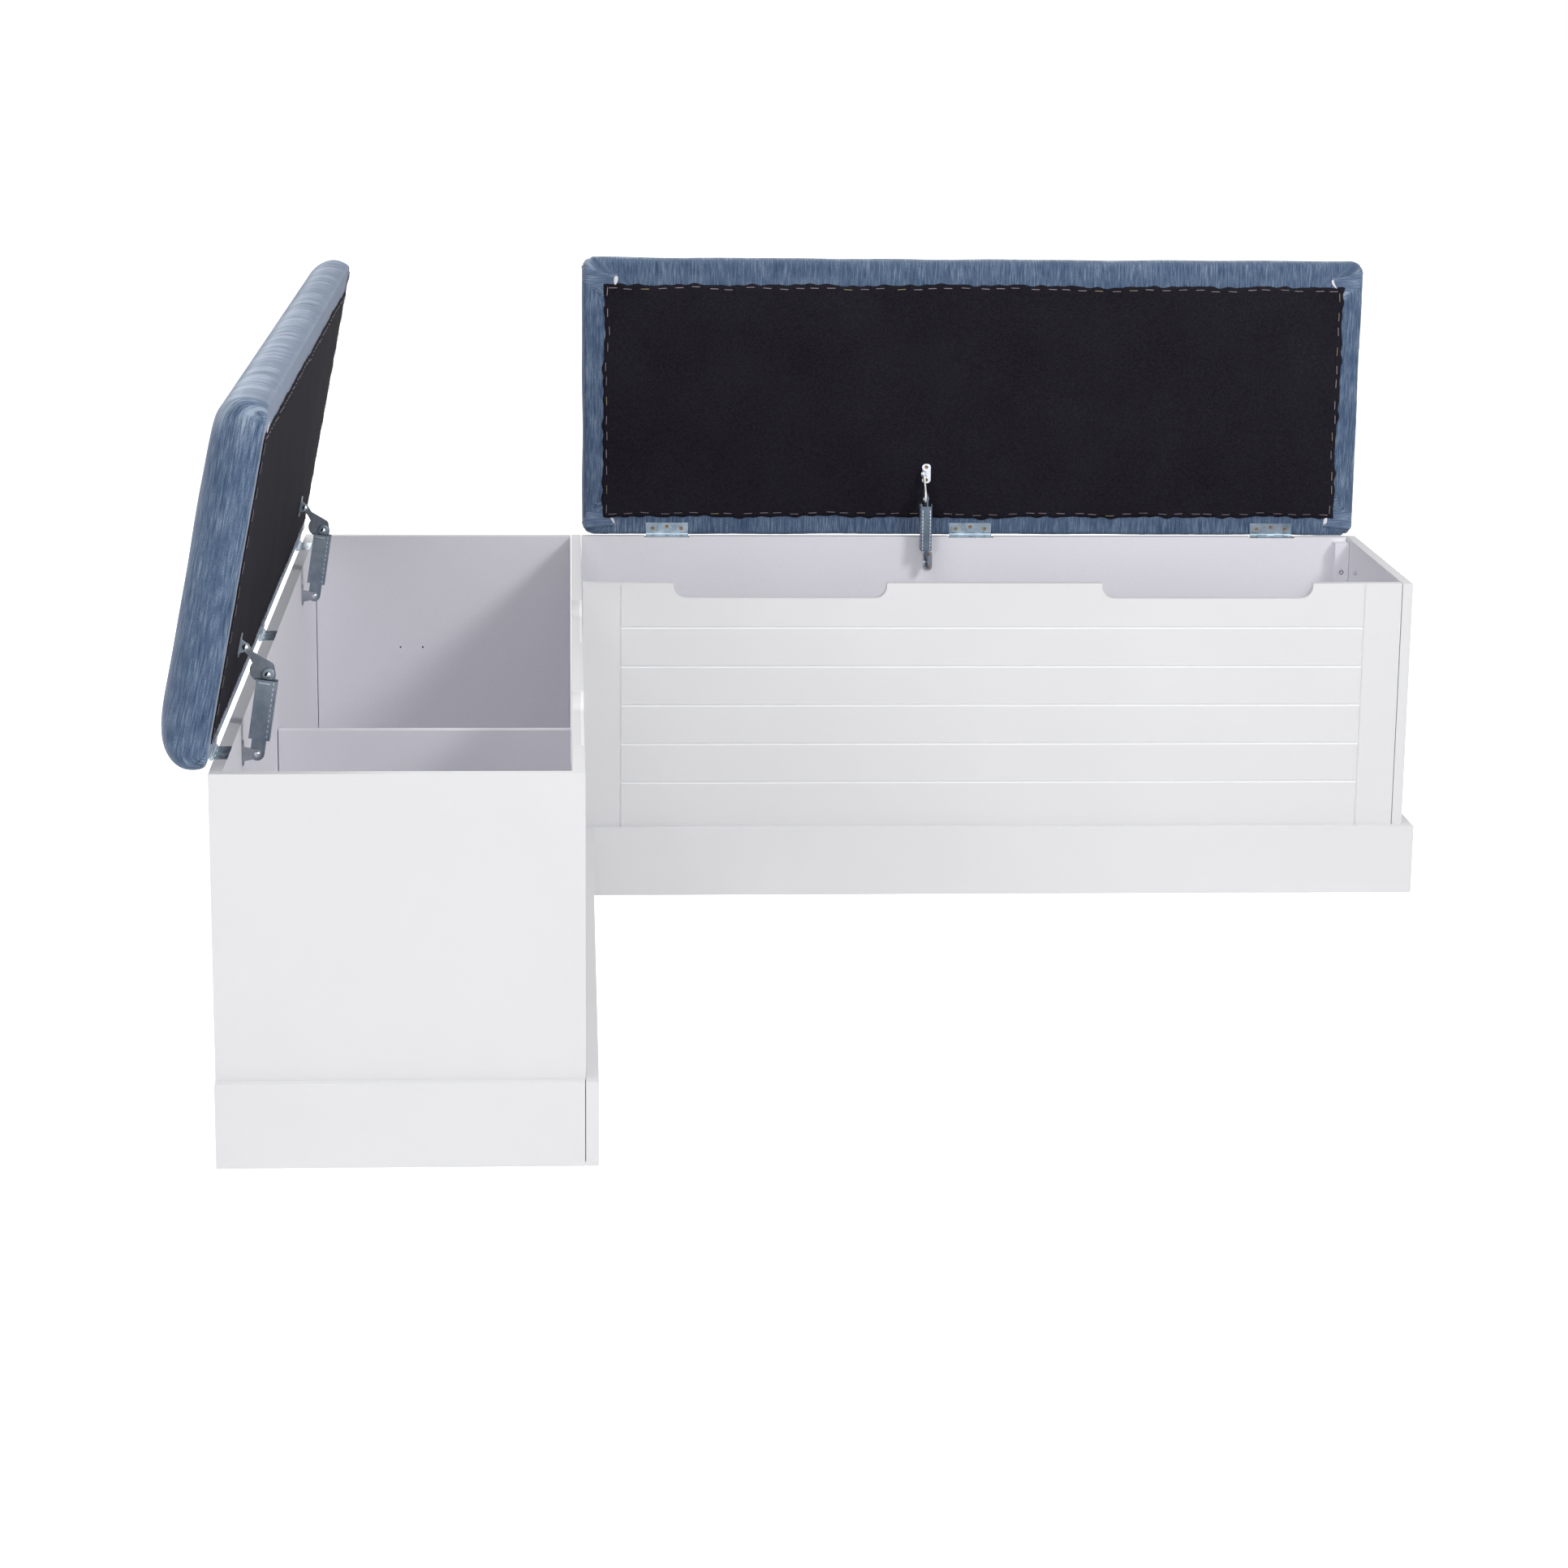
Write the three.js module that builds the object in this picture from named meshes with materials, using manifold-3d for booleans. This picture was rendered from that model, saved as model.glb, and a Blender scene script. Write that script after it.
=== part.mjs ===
import * as THREE from "three";
import { mergeVertices } from "three/addons/utils/BufferGeometryUtils.js";
import Module from "manifold-3d";

// A corner storage bench: two open-topped boxes that make an L, each with a hinged, upholstered lid.
// The corner bench runs away from the viewer along Y, and the wall bench runs to the right along X.
// All lengths are in millimetres, angles are in degrees, and +Z is up.

// Boxes
const boxDepth = 420;
const cornerLength = 1620;
const wallLength = 1200;
const rimHeight = 457;
const panelThickness = 15;
const floorBoardBase = 85;
const floorBoardThickness = 15;
const dividerPlace = 810;
const dividerHeight = 230;
const plinthHeight = 100;
const plinthThickness = 15;
const cleatWidth = 22;
const cleatDrop = 6;

// Air between pieces: a visible seam between painted boards, and a close seat
const seamGap = 0.8;
const seatGap = 0.3;

// How far a cutting tool runs past the face that it cuts, and how near two corners are one
const overrun = 1;
const weldDistance = 0.0001;

// Front boards: planks with V grooves between two stiles, and hand notches in the top edge
const grooveCount = 5;
const groovePitch = 57;
const grooveWidth = 4;
const grooveDepth = 2.5;
const stileWidth = 55;
const stileLineWidth = 2;
const stileLineFoot = 10;
const notchInset = 131;
const notchLength = 306;
const notchDepth = 22;
const notchRadius = 18;

// Two blind holes in the far end board
const blindHoleRadius = 1.5;
const blindHoleDepth = 8;
const blindHolePlace = 143;
const blindHoleSpacing = 34;
const blindHoleHeight = 284;

// Butt hinges. Their axis lies just outside the box, level with the rim
const hingeLength = 65;
const knuckleCount = 5;
const knuckleGap = 0.4;
const barrelRadius = 2.8;
const barrelClearance = 0.2;
const pinRadius = 1.5;
const pinClearance = 0.35;
const pinHeadRadius = 2.2;
const pinHeadHeight = 0.8;
const leafWidth = 14.6;
const leafThickness = 1.2;
const leafClearance = 0.3;
const mortiseSlack = 2;
const leafScrewSpacing = 22;
const leafScrewStagger = 1.5;
const cornerHingeInset = 110;
const wallHingeInset = 132;

// Screw holes, with the room that a screw has in them
const screwHeadRadius = 3.2;
const screwHeadDepth = 1.1;
const screwShankRadius = 1.3;
const leafScrewLength = 10;
const bracketScrewLength = 12;

// Lids, drawn shut. Heights are counted from the lid's underside
const lidOverhang = 6;
const lidFrontInset = 1.5;
const lidEndInset = 1.5;
const cornerLidAngle = 79;
const wallLidAngle = 90;
const fabricThickness = 1;
const lidBoardInset = 9.5;
const lidBoardThickness = 12;
const lidBoardRadius = 8;
const foamInset = 14;
const foamRadius = 20;
const foamThickness = 32;

// Cushion form: tucked in at the underside, full at the belly, rounded at the shoulder, crowned on top
const cushionTuck = 7;
const cushionBelly = 20;
const cushionShoulder = 36;
const cushionShoulderHeight = 60;
const cushionCrown = 4;
const cushionWaist = 2.5;
const cushionCornerRadius = 14;
const cushionRidge = 12;
const cornerSpread = 0.5;
const tuckSteps = 2;
const shoulderSteps = 5;
const crownSteps = 3;
const cornerSteps = 3;
const longSideSteps = 12;
const shortSideSteps = 5;

// Dust cover on the underside
const dustBackInset = 23;
const dustFrontInset = 31.5;
const dustEndInset = 33;
const dustOverlap = 12;
const dustThickness = 0.8;
const dustRadius = 3;

// Lid stays, in the plane square to the hinge axis. Places are counted from the hinge axis
const lidPivotAlong = 95;
const lidPivotDrop = 9;
const wallPivotStandoff = 18;
const wallPivotDrop = 37;
const armLength = 42;
const linkLength = 97;
const cornerStayNearPlace = 265;
const cornerStayFarInset = 320;
const wallStayPlace = 527;

// Stay brackets: an oblong plate with an ear along one edge
const bracketLength = 30;
const bracketWidth = 13.5;
const bracketThickness = 1.6;
const bracketScrewSpacing = 20;
const bracketCornerRadius = 5.5;
const earFoot = 18;
const earRadius = 5.5;

// Stay arm: a neck from the lid pivot, a shoulder, a knee and a round cam lobe
const armThickness = 2.5;
const armEndRadius = 5;
const neckPlace = 10.5;
const neckHalfWidth = 3.6;
const shoulderStart = 34;
const shoulderEnd = 37.5;
const shoulderRise = 13;
const kneeRadius = 9;
const hookPlace = 17;
const hookDrop = 5;
const lobePlace = 33;
const lobeDrop = 3;
const lobeRadius = 13.5;

// Stay link, housing, plunger and spring. Places along the link are counted from the wall pivot
const linkThickness = 2.5;
const linkHalfWidth = 8.5;
const housingStart = 19;
const housingTopDrop = 6;
const housingHalfWidth = 12.5;
const rivetBay = 4.05;
const sheetThickness = 1.2;
const backWallDrop = 4;
const lipReach = 1.5;
const flangeWidth = 8;
const flangeThickness = 0.8;
const plungerClearance = 2.5;
const plungerLength = 7.5;
const plungerHalfWidth = 7;
const plungerNose = 3;
const springCoilRadius = 2.7;
const springWireRadius = 0.5;
const springTurns = 5;
const springStepsPerTurn = 8;
const springSides = 5;

// Rivets
const rivetRadius = 2;
const rivetHeadRadius = 3.8;
const rivetHeadHeight = 1.4;

// Facets on round pieces
const boltFacets = 6;
const rivetFacets = 8;
const barrelFacets = 8;
const arcFacets = 4;

// Derived places
const axisHeight = rimHeight + leafClearance;
const axisStandoff = barrelRadius + barrelClearance;
const rimLevel = -leafClearance;
const wallInside = axisStandoff + panelThickness;
const lidUnderside = leafClearance + leafThickness + seatGap;
const lidBoardBase = lidUnderside + fabricThickness + seatGap;
const foamBase = lidBoardBase + lidBoardThickness + seatGap;
const dustTop = lidUnderside - seatGap;
const dustBase = dustTop - dustThickness;
const floorTop = floorBoardBase + floorBoardThickness;
const wallFront = cornerLength - boxDepth;
const lobeReach = Math.hypot(armLength - lobePlace, lobeDrop) + lobeRadius;
const plungerEnd = linkLength - lobeReach - plungerClearance;
const plungerStart = plungerEnd - plungerLength;
const housingEnd = linkLength - housingTopDrop;

const wasm = await Module();
wasm.setup();

// Materials
const finish = (color, roughness, metalness) =>
  new THREE.MeshStandardMaterial({ color, roughness, metalness });
const paint = finish(0xe9e9e6, 0.45, 0);
const laminate = finish(0xbcbbc1, 0.5, 0);
const boardCore = finish(0x8a6a4c, 0.85, 0);
const blueFabric = finish(0x5a6a7e, 0.95, 0);
const foamYellow = finish(0xd8cfa8, 0.95, 0);
const blackCloth = finish(0x1e1c22, 0.95, 0);
const zinc = finish(0xb9c0c4, 0.35, 1);
const darkSteel = finish(0x6f777c, 0.4, 1);

// Turns a three.js geometry into a solid with shared corners
function solid(geometry) {
  const bare = geometry.clone();
  bare.deleteAttribute("normal");
  bare.deleteAttribute("uv");
  const merged = mergeVertices(bare, weldDistance);
  const vertProperties = new Float32Array(merged.attributes.position.array);
  const triVerts = new Uint32Array(merged.index.array);
  return new wasm.Manifold(new wasm.Mesh({ numProp: 3, vertProperties, triVerts }));
}

// Turns a solid back into a three.js geometry
function geometryOf(body) {
  const { vertProperties, triVerts } = body.getMesh();
  const geometry = new THREE.BufferGeometry();
  geometry.setAttribute("position", new THREE.BufferAttribute(new Float32Array(vertProperties), 3));
  geometry.setIndex(new THREE.BufferAttribute(new Uint32Array(triVerts), 1));
  geometry.computeVertexNormals();
  return geometry;
}

const join = (bodies) => bodies.reduce((all, body) => all.add(body));
const cut = (body, tools) => tools.reduce((left, tool) => left.subtract(tool), body);

// Adds one named piece to a group
function place(parent, name, body, material) {
  const mesh = new THREE.Mesh(geometryOf(body), material);
  mesh.name = name;
  parent.add(mesh);
}

// A rectangular block between two corners
function block([x0, y0, z0], [x1, y1, z1]) {
  const geometry = new THREE.BoxGeometry(x1 - x0, y1 - y0, z1 - z0);
  return solid(geometry.translate((x0 + x1) / 2, (y0 + y1) / 2, (z0 + z1) / 2));
}

// A flat outline pushed along one axis. Along X it is drawn in Y and Z, along Y in X and Z
const extrude = (shape, depth) =>
  new THREE.ExtrudeGeometry(shape, { depth, steps: 1, bevelEnabled: false, curveSegments: arcFacets });
const axisX = new THREE.Vector3(1, 0, 0);
const axisY = new THREE.Vector3(0, 1, 0);
const axisZ = new THREE.Vector3(0, 0, 1);
const downX = axisX.clone().negate();
const downY = axisY.clone().negate();
const downZ = axisZ.clone().negate();

function alongX(shape, from, to) {
  const frame = new THREE.Matrix4().makeBasis(axisY, axisZ, axisX).setPosition(from, 0, 0);
  return solid(extrude(shape, to - from).applyMatrix4(frame));
}

function alongY(shape, from, to) {
  const frame = new THREE.Matrix4().makeBasis(axisX, axisZ, downY).setPosition(0, to, 0);
  return solid(extrude(shape, to - from).applyMatrix4(frame));
}

function alongZ(shape, from, to) {
  return solid(extrude(shape, to - from).translate(0, 0, from));
}

const outline = (points) => new THREE.Shape(points.map(([x, y]) => new THREE.Vector2(x, y)));

// A rectangle with round corners
function roundedRectangle(x0, y0, x1, y1, radius) {
  const shape = new THREE.Shape();
  shape.absarc(x1 - radius, y0 + radius, radius, -Math.PI / 2, 0);
  shape.absarc(x1 - radius, y1 - radius, radius, 0, Math.PI / 2);
  shape.absarc(x0 + radius, y1 - radius, radius, Math.PI / 2, Math.PI);
  shape.absarc(x0 + radius, y0 + radius, radius, Math.PI, 1.5 * Math.PI);
  return shape;
}

// A round bar along Y, with its center at x and z
function bar([x, z], radius, from, to, facets) {
  const geometry = new THREE.CylinderGeometry(radius, radius, to - from, facets);
  return solid(geometry.translate(x, (from + to) / 2, z));
}

// The space for a countersunk screw, from a plate's face at a place and into a direction
function screwHole(length, position, direction) {
  const flare = (screwHeadRadius - screwShankRadius) / screwHeadDepth;
  const points = [
    [0, -length],
    [screwShankRadius, -length],
    [screwShankRadius, -screwHeadDepth],
    [screwHeadRadius + flare * overrun, overrun],
    [0, overrun],
  ];
  const profile = points.map(([x, y]) => new THREE.Vector2(x, y));
  const geometry = new THREE.LatheGeometry(profile, boltFacets).rotateX(Math.PI / 2);
  const turn = new THREE.Quaternion().setFromUnitVectors(downZ, direction);
  return solid(geometry.applyQuaternion(turn).translate(...position));
}

// The layout of each bench leg: hinges and stays along its length
const cornerHinges = {
  corner_near: cornerHingeInset,
  corner_middle: cornerLength / 2,
  corner_far: cornerLength - cornerHingeInset,
};
const wallHinges = {
  wall_left: wallHingeInset,
  wall_middle: wallLength / 2,
  wall_right: wallLength - wallHingeInset,
};
const cornerStays = { corner_near: cornerStayNearPlace, corner_far: cornerLength - cornerStayFarInset };
const wallStays = { wall: wallStayPlace };

// Where the leaf screws of one hinge stand, as places away from the axis and along it
function leafScrewPlaces(hinge) {
  const middle = axisStandoff + panelThickness / 2;
  return [-1, 0, 1].map((side) => [
    middle + (side === 0 ? leafScrewStagger : -leafScrewStagger),
    hinge + side * leafScrewSpacing,
  ]);
}

// Across each stay, along the hinge axis: lid ear, arm, link and wall ear lie side by side
const armNear = -armThickness / 2;
const armFar = armThickness / 2;
const linkNear = armFar + seatGap;
const linkFar = linkNear + linkThickness;
const lidEarFar = armNear - seatGap;
const lidEarNear = lidEarFar - bracketThickness;
const wallEarFar = linkNear - seatGap;
const wallEarNear = wallEarFar - bracketThickness;
const cheekInner = linkNear - 2 * (springCoilRadius + springWireRadius + seatGap);
const cheekOuter = cheekInner - sheetThickness;
const farCheekInner = linkFar + rivetBay;
const farCheekOuter = farCheekInner + sheetThickness;

// The screw holes of leaves and wall brackets in a box, in the hinge frame
function boxScrewHoles(hinges, stays) {
  const underLeaves = Object.values(hinges).flatMap(leafScrewPlaces).map(([x, y]) =>
    screwHole(leafScrewLength, [x, y, rimLevel], downZ));
  const plateFace = wallInside + seatGap + bracketThickness;
  const underBrackets = Object.values(stays).flatMap((stay) => [-1, 1].map((side) => {
    const y = stay + wallEarNear + bracketWidth / 2;
    const z = rimLevel - wallPivotDrop + side * bracketScrewSpacing / 2;
    return screwHole(bracketScrewLength, [plateFace, y, z], downX);
  }));
  return [...underLeaves, ...underBrackets];
}

// The screw holes of leaves and lid brackets in a lid, in the shut lid's frame
function lidScrewHoles(hinges, stays) {
  const overLeaves = Object.values(hinges).flatMap(leafScrewPlaces).map(([x, y]) =>
    screwHole(leafScrewLength, [x, y, leafClearance], axisZ));
  const plateFace = dustBase - seatGap - bracketThickness;
  const overBrackets = Object.values(stays).flatMap((stay) => [-1, 1].map((side) => {
    const x = lidPivotAlong + side * bracketScrewSpacing / 2;
    const y = stay + lidEarNear + bracketWidth / 2;
    return screwHole(bracketScrewLength, [x, y, plateFace], axisZ);
  }));
  return [...overLeaves, ...overBrackets];
}

// One front board, drawn along X with its face at y = 0. The free stretch is the part that shows
function frontBoard(length, freeFrom, freeTo) {
  const board = block([0, 0, 0], [length, panelThickness, rimHeight]);
  const middle = (plinthHeight + rimHeight) / 2;
  const grooves = Array.from({ length: grooveCount }, (_, index) => {
    const z = middle + (index - (grooveCount - 1) / 2) * groovePitch;
    const section = outline([
      [-overrun, z - grooveWidth / 2],
      [0, z - grooveWidth / 2],
      [grooveDepth, z],
      [0, z + grooveWidth / 2],
      [-overrun, z + grooveWidth / 2],
    ]);
    return alongX(section, freeFrom + stileWidth, freeTo - stileWidth);
  });
  const stileLines = [freeFrom + stileWidth, freeTo - stileWidth].map((x) => block(
    [x - stileLineWidth / 2, -overrun, plinthHeight - stileLineFoot],
    [x + stileLineWidth / 2, grooveDepth, rimHeight + overrun],
  ));
  const notches = [freeFrom + notchInset, freeTo - notchInset - notchLength].map((start) => {
    const end = start + notchLength;
    const foot = rimHeight - notchDepth;
    const shape = new THREE.Shape();
    shape.moveTo(end, rimHeight + overrun);
    shape.lineTo(start, rimHeight + overrun);
    shape.absarc(start + notchRadius, foot + notchRadius, notchRadius, Math.PI, 1.5 * Math.PI);
    shape.absarc(end - notchRadius, foot + notchRadius, notchRadius, 1.5 * Math.PI, 2 * Math.PI);
    return alongY(shape, -overrun, panelThickness + overrun);
  });
  return cut(board, [...grooves, ...stileLines, ...notches]);
}

// One back board in the hinge frame, with mortises for the leaves and holes for their screws
function backBoard(from, to, hinges, stays) {
  const board = block([axisStandoff, from, rimLevel - rimHeight], [wallInside, to, rimLevel]);
  const mortises = Object.values(hinges).map((hinge) => block(
    [axisStandoff - overrun, hinge - hingeLength / 2 - mortiseSlack, rimLevel - leafThickness - seatGap],
    [wallInside + overrun, hinge + hingeLength / 2 + mortiseSlack, rimLevel + overrun],
  ));
  return cut(board, [...mortises, ...boxScrewHoles(hinges, stays)]);
}

// One hinge leaf. level is +1 for the lid's leaf and -1 for the box's
function hingeLeaf(hinge, level, screwHoles) {
  const knuckle = hingeLength / knuckleCount;
  const bore = pinRadius + pinClearance;
  const inner = level * leafClearance;
  const outer = level * (leafClearance + leafThickness);
  const [low, high] = [Math.min(inner, outer), Math.max(inner, outer)];
  const leafStart = barrelRadius + seatGap;
  const leafEnd = axisStandoff + seatGap + leafWidth;
  const start = hinge - hingeLength / 2;
  const plate = block([leafStart, start, low], [leafEnd, start + hingeLength, high]);
  const own = Array.from({ length: knuckleCount }, (_, index) => index)
    .filter((index) => (index % 2 === 0) === (level < 0));
  const knuckles = own.map((index) => {
    const from = start + index * knuckle + knuckleGap / 2;
    const to = from + knuckle - knuckleGap;
    const tab = block([bore, from, low], [leafStart + overrun, to, high]);
    const ring = bar([0, 0], barrelRadius, from, to, barrelFacets);
    const hole = bar([0, 0], bore, from - overrun, to + overrun, barrelFacets);
    return cut(join([tab, ring]), [hole]);
  });
  return cut(join([plate, ...knuckles]), screwHoles);
}

function hingePin(hinge) {
  const from = hinge - hingeLength / 2;
  const to = hinge + hingeLength / 2;
  const head = bar([0, 0], pinHeadRadius, to + seatGap - knuckleGap / 2, to + pinHeadHeight, boltFacets);
  return join([bar([0, 0], pinRadius, from, to + pinHeadHeight, barrelFacets), head]);
}

// A ring of points round a rectangle with round corners, counter-clockwise seen from above.
// pull draws the middle of each side inwards
function cushionRing(halfX, halfY, radius, pull) {
  const corners = [[1, 1], [-1, 1], [-1, -1], [1, -1]];
  const points = [];
  corners.forEach(([signX, signY], index) => {
    const centerX = signX * (halfX - radius);
    const centerY = signY * (halfY - radius);
    for (let step = 0; step <= cornerSteps; step += 1) {
      const angle = (index + step / cornerSteps) * Math.PI / 2;
      points.push([centerX + radius * Math.cos(angle), centerY + radius * Math.sin(angle)]);
    }
    const onShortSide = index % 2 === 0;
    const steps = onShortSide ? shortSideSteps : longSideSteps;
    const span = onShortSide ? 2 * (halfX - radius) : 2 * (halfY - radius);
    for (let step = 1; step < steps; step += 1) {
      const share = step / steps;
      const draw = pull * Math.sin(Math.PI * share);
      const run = span / 2 - span * share;
      const onLongSide = [signX * (halfX - draw), signY * run];
      points.push(onShortSide ? [signX * run, signY * (halfY - draw)] : onLongSide);
    }
  });
  return points;
}

// The outer form of a cushion: rings from the underside over the shoulder to a narrow ridge
function cushionForm(x0, y0, x1, y1, base) {
  const halfX = (x1 - x0) / 2;
  const halfY = (y1 - y0) / 2;
  const rows = [];
  for (let step = 0; step < tuckSteps; step += 1) {
    const angle = (1 - step / tuckSteps) * Math.PI / 2;
    const height = cushionBelly * (1 - Math.sin(angle));
    rows.push([cushionTuck * (1 - Math.cos(angle)), height, cushionWaist]);
  }
  for (let step = 0; step <= shoulderSteps; step += 1) {
    const angle = step / shoulderSteps * Math.PI / 2;
    const height = cushionBelly + (cushionShoulderHeight - cushionBelly) * Math.sin(angle);
    rows.push([cushionShoulder * (1 - Math.cos(angle)), height, cushionWaist * Math.cos(angle)]);
  }
  for (let step = 1; step <= crownSteps; step += 1) {
    const share = step / crownSteps;
    const inset = cushionShoulder + (halfX - cushionRidge - cushionShoulder) * share;
    rows.push([inset, cushionShoulderHeight + cushionCrown * (1 - (1 - share) ** 2), 0]);
  }
  const points = [];
  rows.forEach(([inset, height, pull]) => {
    const radius = Math.min(cushionCornerRadius + cornerSpread * inset, halfX - inset);
    const ring = cushionRing(halfX - inset, halfY - inset, radius, pull);
    ring.forEach(([x, y]) => points.push(x + x0 + halfX, y + y0 + halfY, base + height));
  });
  const around = points.length / 3 / rows.length;
  const triangles = [];
  for (let row = 0; row < rows.length - 1; row += 1) {
    for (let index = 0; index < around; index += 1) {
      const next = (index + 1) % around;
      const [a, b] = [row * around + index, row * around + next];
      triangles.push(a, b, b + around, a, b + around, a + around);
    }
  }
  const lower = points.length / 3;
  const upper = lower + 1;
  points.push(x0 + halfX, y0 + halfY, base, x0 + halfX, y0 + halfY, base + rows[rows.length - 1][1]);
  const last = (rows.length - 1) * around;
  for (let index = 0; index < around; index += 1) {
    const next = (index + 1) % around;
    triangles.push(lower, next, index, upper, last + index, last + next);
  }
  const geometry = new THREE.BufferGeometry();
  geometry.setAttribute("position", new THREE.BufferAttribute(new Float32Array(points), 3));
  geometry.setIndex(triangles);
  return solid(geometry);
}

// A lid in its hinge frame, drawn shut and then turned open
function makeLid(hingeFrame, prefix, length, hinges, stays, openAngle) {
  const lid = new THREE.Group();
  lid.rotation.y = -THREE.MathUtils.degToRad(openAngle);
  hingeFrame.add(lid);
  const [x0, x1] = [axisStandoff - lidOverhang, axisStandoff + boxDepth - lidFrontInset];
  const [y0, y1] = [lidEndInset, length - lidEndInset];
  const inset = (amount, radius) =>
    roundedRectangle(x0 + amount, y0 + amount, x1 - amount, y1 - amount, radius);

  const board = alongZ(inset(lidBoardInset, lidBoardRadius), lidBoardBase, lidBoardBase + lidBoardThickness);
  place(lid, `${prefix}_lid_board`, cut(board, lidScrewHoles(hinges, stays)), boardCore);
  const foam = alongZ(inset(foamInset, foamRadius), foamBase, foamBase + foamThickness);
  place(lid, `${prefix}_foam`, foam, foamYellow);

  const dustX0 = x0 + cushionTuck + dustBackInset;
  const dustX1 = x1 - cushionTuck - dustFrontInset;
  const dustY0 = y0 + dustEndInset;
  const dustY1 = y1 - dustEndInset;
  const dust = alongZ(roundedRectangle(dustX0, dustY0, dustX1, dustY1, dustRadius), dustBase, dustTop);
  place(lid, `${prefix}_dust_cover`, dust, blackCloth);

  const mouth = roundedRectangle(
    dustX0 + dustOverlap, dustY0 + dustOverlap, dustX1 - dustOverlap, dustY1 - dustOverlap, dustRadius);
  const pockets = [
    alongZ(inset(lidBoardInset - seatGap, lidBoardRadius), lidBoardBase - seatGap, foamBase),
    alongZ(inset(foamInset - seatGap, foamRadius), foamBase - seatGap, foamBase + foamThickness + seatGap),
    alongZ(mouth, lidUnderside - overrun, lidBoardBase),
  ];
  const cover = cut(cushionForm(x0, y0, x1, y1, lidUnderside), pockets);
  place(lid, `${prefix}_cushion`, cover, blueFabric);
  return lid;
}

// The two stay pivots in the hinge frame, with the lid at a given angle, and the knee between them
const wallPivot = new THREE.Vector2(wallInside + wallPivotStandoff, rimLevel - wallPivotDrop);

function lidPivot(openAngle) {
  const shut = new THREE.Vector2(lidPivotAlong, lidUnderside - lidPivotDrop);
  return shut.rotateAround(new THREE.Vector2(), THREE.MathUtils.degToRad(openAngle));
}

// The knee is where circles about both pivots meet, on the side of the box's inside
function knee(openAngle) {
  const upper = lidPivot(openAngle);
  const reach = upper.distanceTo(wallPivot);
  const ahead = (linkLength ** 2 - armLength ** 2 + reach ** 2) / (2 * reach);
  const aside = Math.sqrt(linkLength ** 2 - ahead ** 2);
  const direction = upper.clone().sub(wallPivot).divideScalar(reach);
  const square = new THREE.Vector2(direction.y, -direction.x);
  return wallPivot.clone().addScaledVector(direction, ahead).addScaledVector(square, aside);
}

// A group whose X runs from one pivot to the other, in the plane square to the hinge axis
function swingFrame(hingeFrame, stay, from, to) {
  const group = new THREE.Group();
  group.position.set(from.x, stay, from.y);
  group.rotation.y = -Math.atan2(to.y - from.y, to.x - from.x);
  hingeFrame.add(group);
  return group;
}

// A bracket drawn with its plate flat on z = 0, its ear rising to a pivot, and its rivet through
// the ear. The rivet's head lies past the piece that turns on it
function stayBracket(pivotHeight, earNear, headPlace) {
  const half = bracketLength / 2;
  const plateShape = roundedRectangle(
    -half, earNear, half, earNear + bracketWidth, bracketCornerRadius);
  const ear = new THREE.Shape();
  ear.moveTo(-earFoot / 2, bracketThickness / 2);
  ear.lineTo(earFoot / 2, bracketThickness / 2);
  ear.absarc(0, pivotHeight, earRadius, 0, Math.PI);
  const screwHoles = [-1, 1].map((side) => screwHole(
    bracketScrewLength,
    [side * bracketScrewSpacing / 2, earNear + bracketWidth / 2, bracketThickness], downZ));
  const center = [0, pivotHeight];
  const headEnd = headPlace + rivetHeadHeight;
  return cut(join([
    alongZ(plateShape, 0, bracketThickness),
    alongY(ear, earNear, earNear + bracketThickness),
    bar(center, rivetHeadRadius, earNear - rivetHeadHeight, earNear + bracketThickness / 2, rivetFacets),
    bar(center, rivetRadius, earNear, headPlace + rivetHeadHeight / 2, rivetFacets),
    bar(center, rivetHeadRadius, headPlace, headEnd, rivetFacets),
  ]), screwHoles);
}

const rivetHole = (near, far) =>
  bar([0, 0], rivetRadius + seatGap, near - overrun, far + overrun, rivetFacets);

// The arm from the lid pivot at its origin to the knee on its X axis
function stayArm() {
  const shape = new THREE.Shape();
  shape.absarc(0, 0, armEndRadius, Math.PI / 2, 1.5 * Math.PI);
  shape.lineTo(neckPlace, -neckHalfWidth);
  shape.lineTo(hookPlace, -hookDrop);
  shape.absarc(lobePlace, -lobeDrop, lobeRadius, 1.06 * Math.PI, 1.65 * Math.PI);
  shape.absarc(armLength, 0, kneeRadius, -0.35 * Math.PI, 0.25 * Math.PI);
  shape.lineTo(shoulderEnd, shoulderRise);
  shape.lineTo(shoulderStart, shoulderRise);
  shape.lineTo(neckPlace, neckHalfWidth);
  const plate = alongY(shape, armNear, armFar);
  const head = bar(
    [armLength, 0], rivetHeadRadius, armNear - rivetHeadHeight, armNear + armThickness / 2, rivetFacets);
  return cut(join([plate, head]), [rivetHole(armNear, armFar)]);
}

// The link bar from the wall pivot at its origin to the knee on its X axis
function stayLink() {
  const shape = new THREE.Shape();
  shape.absarc(0, 0, linkHalfWidth, Math.PI / 2, 1.5 * Math.PI);
  shape.absarc(linkLength, 0, kneeRadius, -Math.PI / 2, Math.PI / 2);
  const plate = alongY(shape, linkNear, linkFar);
  const head = bar(
    [linkLength, 0], rivetHeadRadius, linkFar - linkThickness / 2, linkFar + rivetHeadHeight, rivetFacets);
  return cut(join([plate, head]), [rivetHole(linkNear, linkFar)]);
}

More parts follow.
